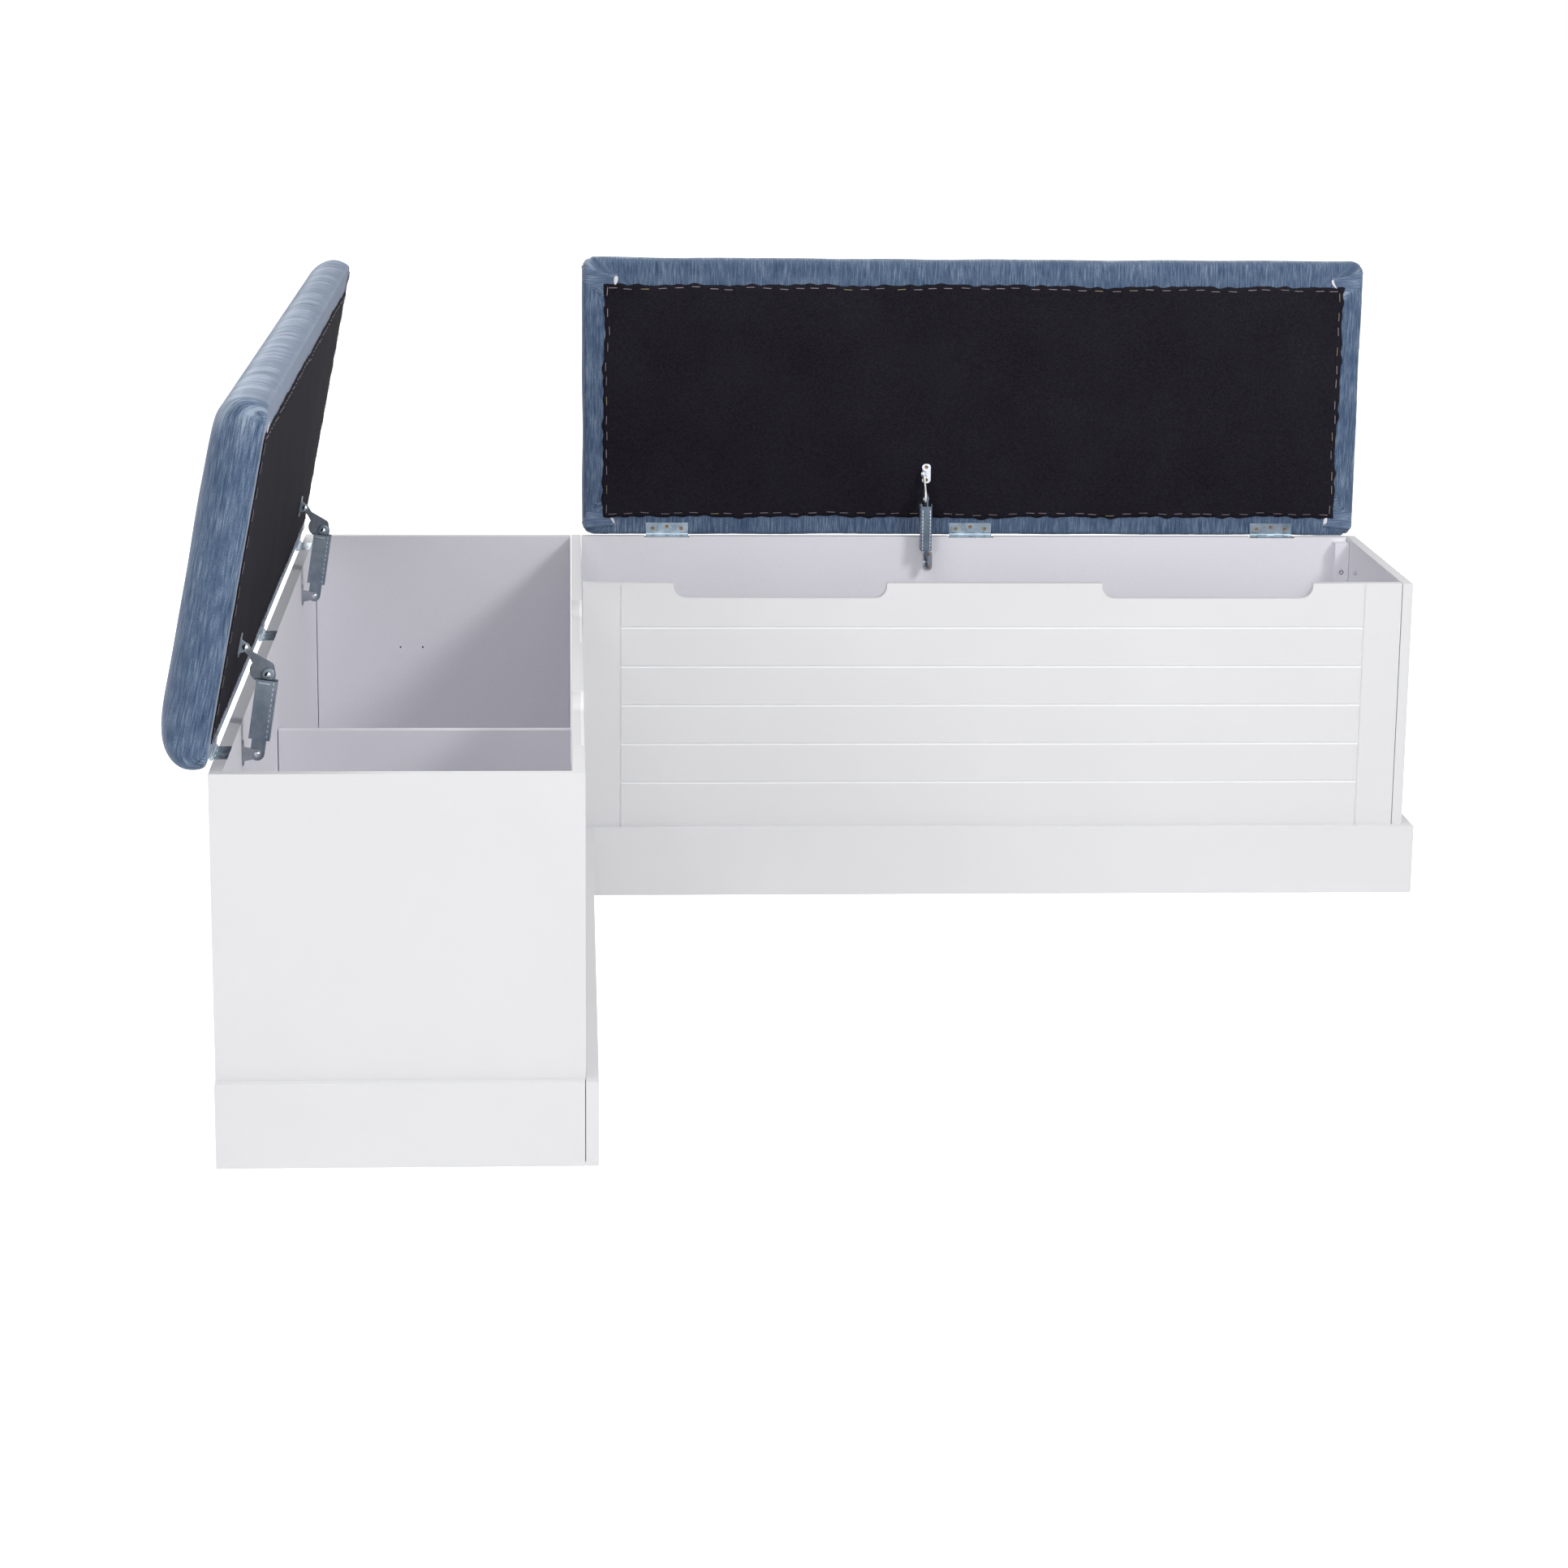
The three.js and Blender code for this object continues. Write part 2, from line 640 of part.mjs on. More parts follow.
// The folded housing round the link. Its side towards the hinge stays open for the arm, and its
// foot is fixed to the link
function stayHousing() {
  const half = housingHalfWidth;
  const wallEnd = housingEnd - backWallDrop;
  return join([
    block([housingStart, cheekOuter, -half], [housingEnd, cheekInner, half]),
    block([housingStart, farCheekInner, -half], [housingEnd, farCheekOuter, half]),
    block([housingStart, cheekOuter, -half], [wallEnd, farCheekOuter, sheetThickness - half]),
    block([housingStart, cheekOuter, -half], [housingStart + sheetThickness, farCheekOuter, half]),
    block([housingEnd - sheetThickness, cheekOuter - lipReach, -half], [housingEnd, cheekInner, half]),
    block([housingStart, cheekOuter - flangeThickness, -half], [housingEnd, cheekInner, flangeWidth - half]),
  ]);
}

const springMiddle = (cheekInner + linkNear) / 2;

// The spring is one tube wound along X from the housing's foot, and the plunger sits on its end
function staySpring() {
  const from = housingStart + sheetThickness + seatGap + springWireRadius;
  const to = plungerStart + springWireRadius;
  const steps = springTurns * springStepsPerTurn;
  const centers = [];
  const points = [];
  for (let step = 0; step <= steps; step += 1) {
    const angle = step / springStepsPerTurn * 2 * Math.PI;
    const outward = new THREE.Vector3(0, Math.cos(angle), Math.sin(angle));
    const center = outward.clone().multiplyScalar(springCoilRadius);
    center.x = from + (to - from) * step / steps;
    center.y += springMiddle;
    centers.push(center);
    for (let side = 0; side < springSides; side += 1) {
      const tilt = side / springSides * 2 * Math.PI;
      const offset = outward.clone().multiplyScalar(Math.cos(tilt)).addScaledVector(axisX, Math.sin(tilt));
      const point = center.clone().addScaledVector(offset, springWireRadius);
      points.push(point.x, point.y, point.z);
    }
  }
  const triangles = [];
  for (let step = 0; step < steps; step += 1) {
    for (let side = 0; side < springSides; side += 1) {
      const a = step * springSides + side;
      const b = step * springSides + (side + 1) % springSides;
      triangles.push(a, a + springSides, b, b, a + springSides, b + springSides);
    }
  }
  const last = steps * springSides;
  for (let side = 1; side < springSides - 1; side += 1) {
    triangles.push(0, side, side + 1, last, last + side + 1, last + side);
  }
  const geometry = new THREE.BufferGeometry();
  geometry.setAttribute("position", new THREE.BufferAttribute(new Float32Array(points), 3));
  geometry.setIndex(triangles);
  return { body: solid(geometry), centers };
}

function stayPlunger() {
  const shape = new THREE.Shape();
  shape.moveTo(plungerEnd - plungerNose, plungerHalfWidth);
  shape.lineTo(plungerStart, plungerHalfWidth);
  shape.lineTo(plungerStart, -plungerHalfWidth);
  shape.lineTo(plungerEnd - plungerNose, -plungerHalfWidth);
  shape.quadraticCurveTo(plungerEnd + plungerNose, 0, plungerEnd - plungerNose, plungerHalfWidth);
  return alongY(shape, cheekInner + seatGap, linkNear - seatGap);
}

// The least air between two turns of the spring, measured on its centre line
function leastSpringGap(centers) {
  let least = Infinity;
  centers.forEach((center, index) => {
    centers.slice(index + springStepsPerTurn - 1).forEach((other) => {
      least = Math.min(least, center.distanceTo(other) - 2 * springWireRadius);
    });
  });
  return least;
}

// One lid stay. The lid carries its bracket, and arm and strut swing between the two pivots
function makeStay(hingeFrame, lid, name, stay, openAngle) {
  const middle = knee(openAngle);

  const lidPlate = new THREE.Group();
  lidPlate.position.set(lidPivotAlong, stay, dustBase - seatGap);
  lid.add(lidPlate);
  const lidEarHeight = dustBase - seatGap - (lidUnderside - lidPivotDrop);
  const lidBracket = stayBracket(lidEarHeight, lidEarNear, armFar + seatGap);
  place(lidPlate, `${name}_stay_lid_bracket`, lidBracket.scale([1, 1, -1]), zinc);

  const wallPlate = new THREE.Group();
  wallPlate.position.set(wallInside + seatGap, stay, wallPivot.y);
  wallPlate.rotation.y = Math.PI / 2;
  hingeFrame.add(wallPlate);
  const wallBracket = stayBracket(wallPivotStandoff - seatGap, wallEarNear, linkFar + seatGap);
  place(wallPlate, `${name}_stay_wall_bracket`, wallBracket, zinc);

  const armFrame = swingFrame(hingeFrame, stay, lidPivot(openAngle), middle);
  place(armFrame, `${name}_stay_arm`, stayArm(), darkSteel);

  const strutFrame = swingFrame(hingeFrame, stay, wallPivot, middle);
  place(strutFrame, `${name}_stay_strut`, join([stayLink(), stayHousing()]), darkSteel);
  place(strutFrame, `${name}_stay_spring`, join([staySpring().body, stayPlunger()]), zinc);
}

const model = new THREE.Group();
const bench = new THREE.Group();
model.add(bench);

// Hinge frames: X runs into the box from the hinge axis, Y runs along the axis
const cornerFrame = new THREE.Group();
cornerFrame.position.set(-axisStandoff, 0, axisHeight);
const wallFrame = new THREE.Group();
wallFrame.position.set(boxDepth, cornerLength + axisStandoff, axisHeight);
wallFrame.rotation.z = -Math.PI / 2;
bench.add(cornerFrame, wallFrame);

// A square cleat in a box corner. Its outer edge stands at x and y, and it grows from there
function placeCleat(name, x, y, signX, signY) {
  const [farX, farY] = [x + signX * cleatWidth, y + signY * cleatWidth];
  place(bench, name, block(
    [Math.min(x, farX), Math.min(y, farY), floorTop + seatGap],
    [Math.max(x, farX), Math.max(y, farY), rimHeight - cleatDrop]), laminate);
}

// Corner bench box. Its near end board covers the ends of the long boards
const boardSeat = panelThickness + seatGap;
const boardStart = panelThickness + seamGap;
const cornerFront = frontBoard(cornerLength - boardStart, -seamGap, wallFront - boardStart);
place(bench, "corner_front_board",
  cornerFront.rotate([0, 0, 90]).translate([boxDepth, boardStart, 0]), paint);
place(cornerFrame, "corner_back_board",
  backBoard(boardStart, cornerLength, cornerHinges, cornerStays), paint);
place(bench, "corner_near_end_board", block([0, 0, 0], [boxDepth, panelThickness, rimHeight]), paint);
const farEndFace = cornerLength - panelThickness;
const blindHoles = [0, blindHoleSpacing].map((step) => bar(
  [blindHolePlace + step, blindHoleHeight], blindHoleRadius,
  farEndFace - overrun, farEndFace + blindHoleDepth, boltFacets));
const farEnd = block([boardStart, farEndFace, 0], [boxDepth - boardStart, cornerLength, rimHeight]);
place(bench, "corner_far_end_board", cut(farEnd, blindHoles), laminate);
place(bench, "corner_divider", block(
  [boardStart, dividerPlace - panelThickness / 2, floorTop + seatGap],
  [boxDepth - boardStart, dividerPlace + panelThickness / 2, floorTop + dividerHeight]), laminate);
place(bench, "corner_floor_board", block(
  [boardSeat, boardSeat, floorBoardBase],
  [boxDepth - boardSeat, cornerLength - boardSeat, floorTop]), laminate);
place(bench, "corner_front_plinth", block(
  [boxDepth, -plinthThickness, 0],
  [boxDepth + plinthThickness, wallFront - plinthThickness - seamGap, plinthHeight]), paint);
place(bench, "corner_end_plinth", block(
  [0, -plinthThickness, 0], [boxDepth - seamGap, 0, plinthHeight]), paint);
placeCleat("corner_near_left_cleat", boardSeat, boardSeat, 1, 1);
placeCleat("corner_near_right_cleat", boxDepth - boardSeat, boardSeat, -1, 1);

// Wall bench box. The corner bench's front board closes its left end
const wallEnd = boxDepth + wallLength;
const wallBoardSpan = wallLength - panelThickness - 2 * seamGap;
const wallBoard = frontBoard(wallBoardSpan, -seamGap, wallBoardSpan + seamGap);
place(bench, "wall_front_board", wallBoard.translate([boxDepth + seamGap, wallFront, 0]), paint);
place(wallFrame, "wall_back_board",
  backBoard(seamGap, seamGap + wallBoardSpan, wallHinges, wallStays), paint);
place(bench, "wall_end_board", block(
  [wallEnd - panelThickness, wallFront, 0], [wallEnd, cornerLength, rimHeight]), paint);
place(bench, "wall_floor_board", block(
  [boxDepth + seatGap, wallFront + boardSeat, floorBoardBase],
  [wallEnd - boardSeat, cornerLength - boardSeat, floorTop]), laminate);
place(bench, "wall_front_plinth", block(
  [boxDepth, wallFront - plinthThickness, 0], [wallEnd + plinthThickness, wallFront, plinthHeight]), paint);
place(bench, "wall_end_plinth", block(
  [wallEnd, wallFront + seamGap, 0], [wallEnd + plinthThickness, cornerLength, plinthHeight]), paint);
placeCleat("wall_front_cleat", wallEnd - boardSeat, wallFront + boardSeat, -1, 1);
placeCleat("wall_rear_cleat", wallEnd - boardSeat, cornerLength - boardSeat, -1, -1);

// Hinges, lid and stays of one bench
function furnish(hingeFrame, prefix, length, hinges, stays, openAngle) {
  const lid = makeLid(hingeFrame, prefix, length, hinges, stays, openAngle);
  Object.entries(hinges).forEach(([name, hinge]) => {
    const boxLeaf = hingeLeaf(hinge, -1, boxScrewHoles(hinges, stays));
    place(hingeFrame, `${name}_hinge_box_leaf`, boxLeaf, zinc);
    place(lid, `${name}_hinge_lid_leaf`, hingeLeaf(hinge, 1, lidScrewHoles(hinges, stays)), zinc);
    place(hingeFrame, `${name}_hinge_pin`, hingePin(hinge), zinc);
  });
  Object.entries(stays).forEach(([name, stay]) => makeStay(hingeFrame, lid, name, stay, openAngle));
}

furnish(cornerFrame, "corner", cornerLength, cornerHinges, cornerStays, cornerLidAngle);
furnish(wallFrame, "wall", wallLength, wallHinges, wallStays, wallLidAngle);
console.log(`least gap in the spring: ${leastSpringGap(staySpring().centers).toFixed(2)} mm`);

// The origin is the middle of the whole bench's footprint, on the floor
const bounds = new THREE.Box3().setFromObject(bench, true);
const middle = bounds.getCenter(new THREE.Vector3());
bench.position.set(-middle.x, -middle.y, -bounds.min.z);

export default model;
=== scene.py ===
# %% [markdown]
# # A corner storage bench
# Two open-topped boxes make an L. Each has an upholstered lid, held open by folding steel stays.
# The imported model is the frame, in metres, with boards, hinges and stays in their places. This lesson
# gives them their finishes and makes what solids leave out: the fabric covers, the black dust covers
# with their staples, the screws and the soft edges of the boards.

# %% Load the frame
import math

import bmesh
import bpy
import numpy as np
from mathutils import Matrix, Vector


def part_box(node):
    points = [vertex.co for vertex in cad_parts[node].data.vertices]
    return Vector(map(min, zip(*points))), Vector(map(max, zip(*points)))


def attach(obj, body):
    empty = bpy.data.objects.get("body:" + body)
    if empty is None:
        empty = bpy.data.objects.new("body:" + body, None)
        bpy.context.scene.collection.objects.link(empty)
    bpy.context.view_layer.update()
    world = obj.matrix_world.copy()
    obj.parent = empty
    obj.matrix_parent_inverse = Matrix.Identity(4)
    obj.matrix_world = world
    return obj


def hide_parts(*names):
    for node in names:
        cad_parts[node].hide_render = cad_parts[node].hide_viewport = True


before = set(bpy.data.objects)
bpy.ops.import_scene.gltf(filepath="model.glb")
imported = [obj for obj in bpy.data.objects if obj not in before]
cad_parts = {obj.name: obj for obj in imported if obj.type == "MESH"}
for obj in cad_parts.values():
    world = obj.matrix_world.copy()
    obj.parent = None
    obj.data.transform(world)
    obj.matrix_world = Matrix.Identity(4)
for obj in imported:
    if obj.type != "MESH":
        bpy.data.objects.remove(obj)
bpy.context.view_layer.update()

# %% [markdown]
# ## Places
# Board and lid sizes are read from the frame. Each lid gets a frame of its own, drawn shut: X runs
# from the hinge axis to the free edge, Y along the axis and Z up. One matrix carries all its pieces
# to the open lid. Small sizes are in millimetres and angles in degrees.

# %% Places in the frame
MM = 0.001
near_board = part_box("corner_near_end_board")
left, near, rim = near_board[0].x, near_board[0].y, near_board[1].z
depth = near_board[1].x - left
board = near_board[1].y - near
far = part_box("corner_far_end_board")[1].y
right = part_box("wall_end_board")[1].x
wall_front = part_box("wall_end_board")[0].y


def middle(node):
    """The middle of a node's box."""
    low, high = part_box(node)
    return (low + high) / 2


corner_axis = middle("corner_near_hinge_pin")
wall_axis = middle("wall_left_hinge_pin")
hinge_frames = {
    "corner": Matrix.Translation((corner_axis.x, near, corner_axis.z)),
    "wall": Matrix.Translation((left + depth, wall_axis.y, wall_axis.z))
    @ Matrix.Rotation(math.radians(-90), 4, "Z"),
}
lid_open = {"corner": 79, "wall": 90}
lid_frames = {
    name: matrix @ Matrix.Rotation(-math.radians(lid_open[name]), 4, "Y")
    for name, matrix in hinge_frames.items()
}
lid_lengths = {"corner": (far - near) / MM, "wall": (right - left - depth) / MM}

# %% [markdown]
# ## Mesh kit
# A surface is a grid of points worked out by numpy. Neighbours in the grid become quads. Points that
# meet, at a seam or a pole, are merged afterwards, and the faces are turned outwards.

# %% Grids and pieces
meeting_distance = 1e-6


def grid_faces(rows, columns, around=False):
    """Quads between neighbours of a grid. around joins the last column to the first."""
    row = np.arange(rows - 1)[:, None]
    column = np.arange(columns if around else columns - 1)[None, :]
    following = (column + 1) % columns
    corners = (row * columns + column, row * columns + following,
               (row + 1) * columns + following, (row + 1) * columns + column)
    return np.stack(np.broadcast_arrays(*corners), -1).reshape(-1, 4)


def added(name, data):
    """A new object in the scene."""
    made = bpy.data.objects.new(name, data)
    bpy.context.scene.collection.objects.link(made)
    return made


def piece(name, points, faces, places, material, body, slot, cloth_map=None, smooth=True):
    """Makes one mesh piece that rides on its body: a closed shape in millimetres, repeated at each of
    the places, which are matrices. What meets is merged."""
    points = np.asarray(points, float).reshape(-1, 3) * MM
    moved = [points @ np.array(m)[:3, :3].T + np.array(m)[:3, 3] for m in places]
    shifted = [np.asarray(faces) + len(points) * index for index in range(len(moved))]
    mesh = bpy.data.meshes.new(name)
    mesh.from_pydata(np.concatenate(moved).tolist(), [], np.concatenate(shifted).tolist())
    if cloth_map is not None:
        layer = mesh.uv_layers.new(name="cloth")
        index = np.zeros(len(mesh.loops), int)
        mesh.loops.foreach_get("vertex_index", index)
        layer.data.foreach_set("uv", cloth_map.reshape(-1, 2)[index].ravel())
    shape = bmesh.new()
    shape.from_mesh(mesh)
    bmesh.ops.remove_doubles(shape, verts=shape.verts, dist=meeting_distance)
    bmesh.ops.recalc_face_normals(shape, faces=shape.faces)
    shape.to_mesh(mesh)
    shape.free()
    mesh.polygons.foreach_set("use_smooth", [smooth] * len(mesh.polygons))
    mesh.materials.append(material)
    made = added(name, mesh)
    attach(made, body)
    return made


def lid_piece(lid, kind, points, faces, material, slot, cloth_map=None):
    """A piece of a lid, from points in the shut lid's frame."""
    return piece(f"{lid}_{kind}", points, faces, [lid_frames[lid]], material, lid + "_lid", slot, cloth_map)


def ripple(place, seed, lengths):
    """A smooth wave between -1 and 1: the mean of sines with the given wavelengths and seeded phases."""
    phases = np.random.default_rng(seed).uniform(0, 2 * np.pi, len(lengths))
    waves = [np.sin(2 * np.pi * np.asarray(place) / length + phase)
             for length, phase in zip(lengths, phases)]
    return sum(waves) / len(waves)


# %% [markdown]
# ## Shader maths
# A finish is a small calculation. Here a socket is wrapped so that Python's own signs add the Math
# nodes, and one method makes every other node: its settings first, then the values of its sockets.


# %% Sockets and finishes
def sign(operation, swapped=False):
    """A method that adds one Math node."""
    def calculated(self, other):
        first, second = (other, self) if swapped else (self, other)
        return self.shading.node("ShaderNodeMath", {"operation": operation}, {0: first, 1: second})
    return calculated


class Value:
    """One output socket. Sums, products and comparisons on it add Math nodes."""

    def __init__(self, shading, socket):
        self.shading, self.socket = shading, socket

    __add__ = __radd__ = sign("ADD")
    __sub__, __rsub__ = sign("SUBTRACT"), sign("SUBTRACT", swapped=True)
    __mul__ = __rmul__ = sign("MULTIPLY")
    __gt__, __lt__, most = sign("GREATER_THAN"), sign("LESS_THAN"), sign("MAXIMUM")

    def spread(self, low=0.3, high=0.7):
        """0 below low, 1 above high, and even in between. Noise lies mostly within the defaults."""
        return self.shading.node(
            "ShaderNodeMapRange", {"clamp": True}, {"Value": self, "From Min": low, "From Max": high})


class Shading:
    """A tree of nodes."""

    def __init__(self, tree):
        self.tree = tree

    def node(self, kind, settings=None, sockets=None, output=0):
        """Adds a node. A ramp's stops are a list of places and colours."""
        made = self.tree.nodes.new(kind)
        for name, value in (settings or {}).items():
            if name == "stops":
                while len(made.color_ramp.elements) < len(value):
                    made.color_ramp.elements.new(1.0)
                for element, (place, tone) in zip(made.color_ramp.elements, value):
                    element.position, element.color = place, tone
            else:
                setattr(made, name, value)
        for name, value in (sockets or {}).items():
            self.feed(made.inputs[name], value)
        return Value(self, made.outputs[output])

    def feed(self, socket, value):
        if isinstance(value, Value):
            self.tree.links.new(value.socket, socket)
        else:
            socket.default_value = value

    def split(self, vector):
        """A vector's x, y and z."""
        split = self.node("ShaderNodeSeparateXYZ", None, {0: vector}).socket.node
        return [Value(self, output) for output in split.outputs]

    def scaled(self, vector, factors):
        return self.node("ShaderNodeVectorMath", {"operation": "MULTIPLY"}, {0: vector, 1: factors})

    def noise(self, vector, scale, detail=2.0, roughness=0.5):
        sockets = {"Vector": vector, "Scale": scale, "Detail": detail, "Roughness": roughness}
        return self.node("ShaderNodeTexNoise", None, sockets)

    def mix(self, share, first, second):
        """A colour between two."""
        return self.node(
            "ShaderNodeMix", {"data_type": "RGBA"}, {0: share, 6: first, 7: second}, output=2)

    def varied(self, share, tone, shade):
        """A colour that darkens to a share of its light."""
        return self.mix(share, tone, tuple(part * shade for part in tone[:3]) + (1,))

    def looked_at(self):
        """1 for rays from the camera or a reflection, 0 for those that only carry light."""
        return self.node("ShaderNodeLightPath", output="Is Camera Ray").most(
            self.node("ShaderNodeLightPath", output="Is Glossy Ray"))


class Finish(Shading):
    """One material, with its shader."""

    def __init__(self, name, **settings):
        self.material = bpy.data.materials.new(name)
        self.material.use_nodes = True
        super().__init__(self.material.node_tree)
        self.shader = self.tree.nodes["Principled BSDF"]
        self.set(**settings)

    def set(self, **values):
        """Feeds the shader's own sockets. An underscore in a name stands for a space."""
        for name, value in values.items():
            self.feed(self.shader.inputs[name.replace("_", " ")], value)

    def point(self):
        """The point that is shaded, in the row frame."""
        return self.node("ShaderNodeTexCoord", output="Object")

    def bump(self, height, distance, strength):
        self.set(Normal=self.node(
            "ShaderNodeBump", None, {"Height": height, "Distance": distance, "Strength": strength}))


def colour(red, green, blue):
    """A colour as it reads in a picture, 0 to 255, turned into linear light by the sRGB curve."""
    def linear(value):
        share = value / 255
        return share / 12.92 if share <= 0.04045 else ((share + 0.055) / 1.055) ** 2.4
    return (linear(red), linear(green), linear(blue), 1.0)


# %% [markdown]
# ## Board finishes
# The boards are fibreboard: satin white paint outside and on all edges, and a slightly lilac laminate
# inside the boxes. One material has both, because one board shows both: a mask picks the laminate
# where a point lies within a box. Grooves are a little paler, and brown core shows in the mortises
# for the hinge leaves. A thin strip along the corner box's back board and the walls of the blind holes
# are painted dark: painted shade for the shadow in the gap and in the holes.

# %% Board finish
# Three colours, each with the share of its light that it darkens to
paint, laminate = (colour(223, 223, 225), 0.97), (colour(239, 238, 244), 0.94)
raw_core = (colour(172, 142, 112), 0.7)
# Painted shade: a dark colour for the gap strip by the corner box's back board and the blind holes
painted_recess_shade = colour(78, 70, 72)
groove_white = colour(237, 237, 239)
skin, margin = 0.3 * MM, 1 * MM
groove_reach = 4 * MM
gap_start, gap_width = 0.15 * MM, 1 * MM
core_top, core_bottom = rim - 1.2 * MM, rim - 2.4 * MM


def inside(place, low, high):
    """1 where a point lies between two corners."""
    x, y, z = place
    return (x > low[0]) * (x < high[0]) * (y > low[1]) * (y < high[1]) * (z > low[2]) * (z < high[2])


def board_finish():
    finish = Finish("painted_board", Specular_IOR_Level=0.4)
    point = finish.point()
    place = finish.split(point)
    x, _, z = place
    corner_room = inside(place, (left + board - skin, near + board - skin, 0),
                         (left + depth - board + skin, far - board + skin, rim - skin))
    wall_room = inside(place, (left + depth + skin, wall_front + board - skin, 0),
                       (right - board + skin, far - board + skin, rim - skin))
    corner_grooves = inside(place, (left + depth - groove_reach, near + board + margin, 0),
                            (left + depth - skin, wall_front - margin, rim - margin))
    wall_grooves = inside(place, (left + depth, wall_front + skin, 0),
                          (right - board - margin, wall_front + groove_reach, rim - margin))
    holes = inside(place, (left + board + margin, far - board + skin, 0),
                   (left + depth - board - margin, far - skin, rim - 2 * margin))
    corner_back = inside(place, (left + skin, near + board + skin, 0),
                         (left + board + skin, far - board, rim))
    wall_back = inside(place, (left + depth + board, far - board - skin, 0),
                       (right - board, far - skin, rim))
    room = corner_room.most(wall_room)
    # The gap strip: painted shade beside the corner box's back board
    gap = corner_room * (x > left + board + gap_start) * (x < left + board + gap_start + gap_width)
    bare = (z < core_top) * (z > core_bottom) * (1 - room) * corner_back.most(wall_back)

    cloud = finish.noise(point, 3.0, 3.0)
    speck = finish.noise(point, 900.0, 1.0)
    white = finish.varied(cloud.spread(0.35, 0.65), *paint)
    white = finish.mix(wall_grooves.most(corner_grooves), white, groove_white)
    lilac = finish.varied(speck.spread(), *laminate)
    coated = finish.mix(gap.most(holes), finish.mix(room, white, lilac), painted_recess_shade)
    core = finish.varied(speck.spread(0.2, 0.8), *raw_core)
    finish.set(Base_Color=finish.mix(bare, coated, core), Roughness=0.4 + 0.08 * cloud + 0.1 * room)
    peel = finish.noise(point, 260.0, 2.0) + room * finish.noise(point, 1500.0, 1.0)
    finish.bump(peel, 0.05 * MM, 0.5)
    return finish.material


painted = board_finish()

# %% [markdown]
# ## Softened boards
# A real board's edges are rounded by sanding and paint, and catch a thin light. Each visible board is
# copied, its triangles are merged into clean faces, and a small bevel rounds its edges. The copy
# stands for the board.

# %% Copies with soft edges
loose_distance, flat_angle, board_angle = 1e-5, 1, 35


def softened(node, material, width, body, angle=board_angle):
    """A merged copy of a node with a small bevel on edges that turn by more than the angle."""
    made = added(node + "_soft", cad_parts[node].data.copy())
    shape = bmesh.new()
    shape.from_mesh(made.data)
    bmesh.ops.remove_doubles(shape, verts=shape.verts, dist=loose_distance)
    bmesh.ops.dissolve_limit(shape, angle_limit=math.radians(flat_angle), verts=shape.verts,
                             edges=shape.edges)
    shape.to_mesh(made.data)
    shape.free()
    made.data.materials.clear()
    made.data.materials.append(material)
    bevel = made.modifiers.new("soft_edge", "BEVEL")
    bevel.width, bevel.segments = width, 2
    bevel.limit_method, bevel.angle_limit = "ANGLE", math.radians(angle)
    made.data.polygons.foreach_set("use_smooth", [True] * len(made.data.polygons))
    weighted = made.modifiers.new("even_light", "WEIGHTED_NORMAL")
    weighted.keep_sharp = True
    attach(made, body)
    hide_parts(node)


board_edge = 0.7 * MM
boards = {
    "white_paint": [
        "corner_front_board", "corner_back_board", "corner_near_end_board", "wall_front_board",
        "wall_back_board", "wall_end_board", "corner_front_plinth", "corner_end_plinth",
        "wall_front_plinth", "wall_end_plinth"],
    "laminate": [
        "corner_far_end_board", "corner_divider", "corner_near_left_cleat", "corner_near_right_cleat",
        "wall_front_cleat", "wall_rear_cleat"],
}
for slot, names in boards.items():
    for name in names:
        softened(name, painted, board_edge, "boxes")
for name in ("corner_floor_board", "wall_floor_board"):
    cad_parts[name].data.materials.clear()
    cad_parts[name].data.materials.append(painted)

# %% [markdown]
# ## Fabric
# The covers are a chenille: a soft, uneven yarn, so the cloth shows short streaks of light and dark
# blue. They follow a map of the cloth in metres: U runs along the streaks, from the middle of the
# lid to its edges, and V across them. Noise that is stretched along U makes the streaks, in three
# widths, and a rounder noise makes them uneven. Down a lid's free side the cloth parts in broad
# streaks and is painted paler: a painted sheen for the light that falls on that side from above.
# The noises also raise the yarn a little.

# %% Fabric finish
# Waves in a metre along and across the streaks, roughness of the noise, and share in the tone
cloth_layers = {
    "broad": ((18, 100), 0.6, 0.11),
    "yarn": ((36, 480), 0.6, 0.38),
    "fine": ((700, 1200), 0.7, 0.36),
    "cloud": ((22, 27), 0.55, 0.15),
}
cloth_shades = [(0.2, (42, 60, 88)), (0.45, (75, 94, 122)), (0.6, (98, 117, 142)), (0.82, (152, 165, 184))]
free_side_start, free_side_end = (0.160, 0.200), (0.234, 0.248)
# The free side's streaks, and how far they lift its tone on the whole: a painted sheen
streak_waves, streak_gain, streak_dip = (7, 42), 0.62, 0.17
pile_depth = 0.45 * MM
painted_sheen_lift = 16


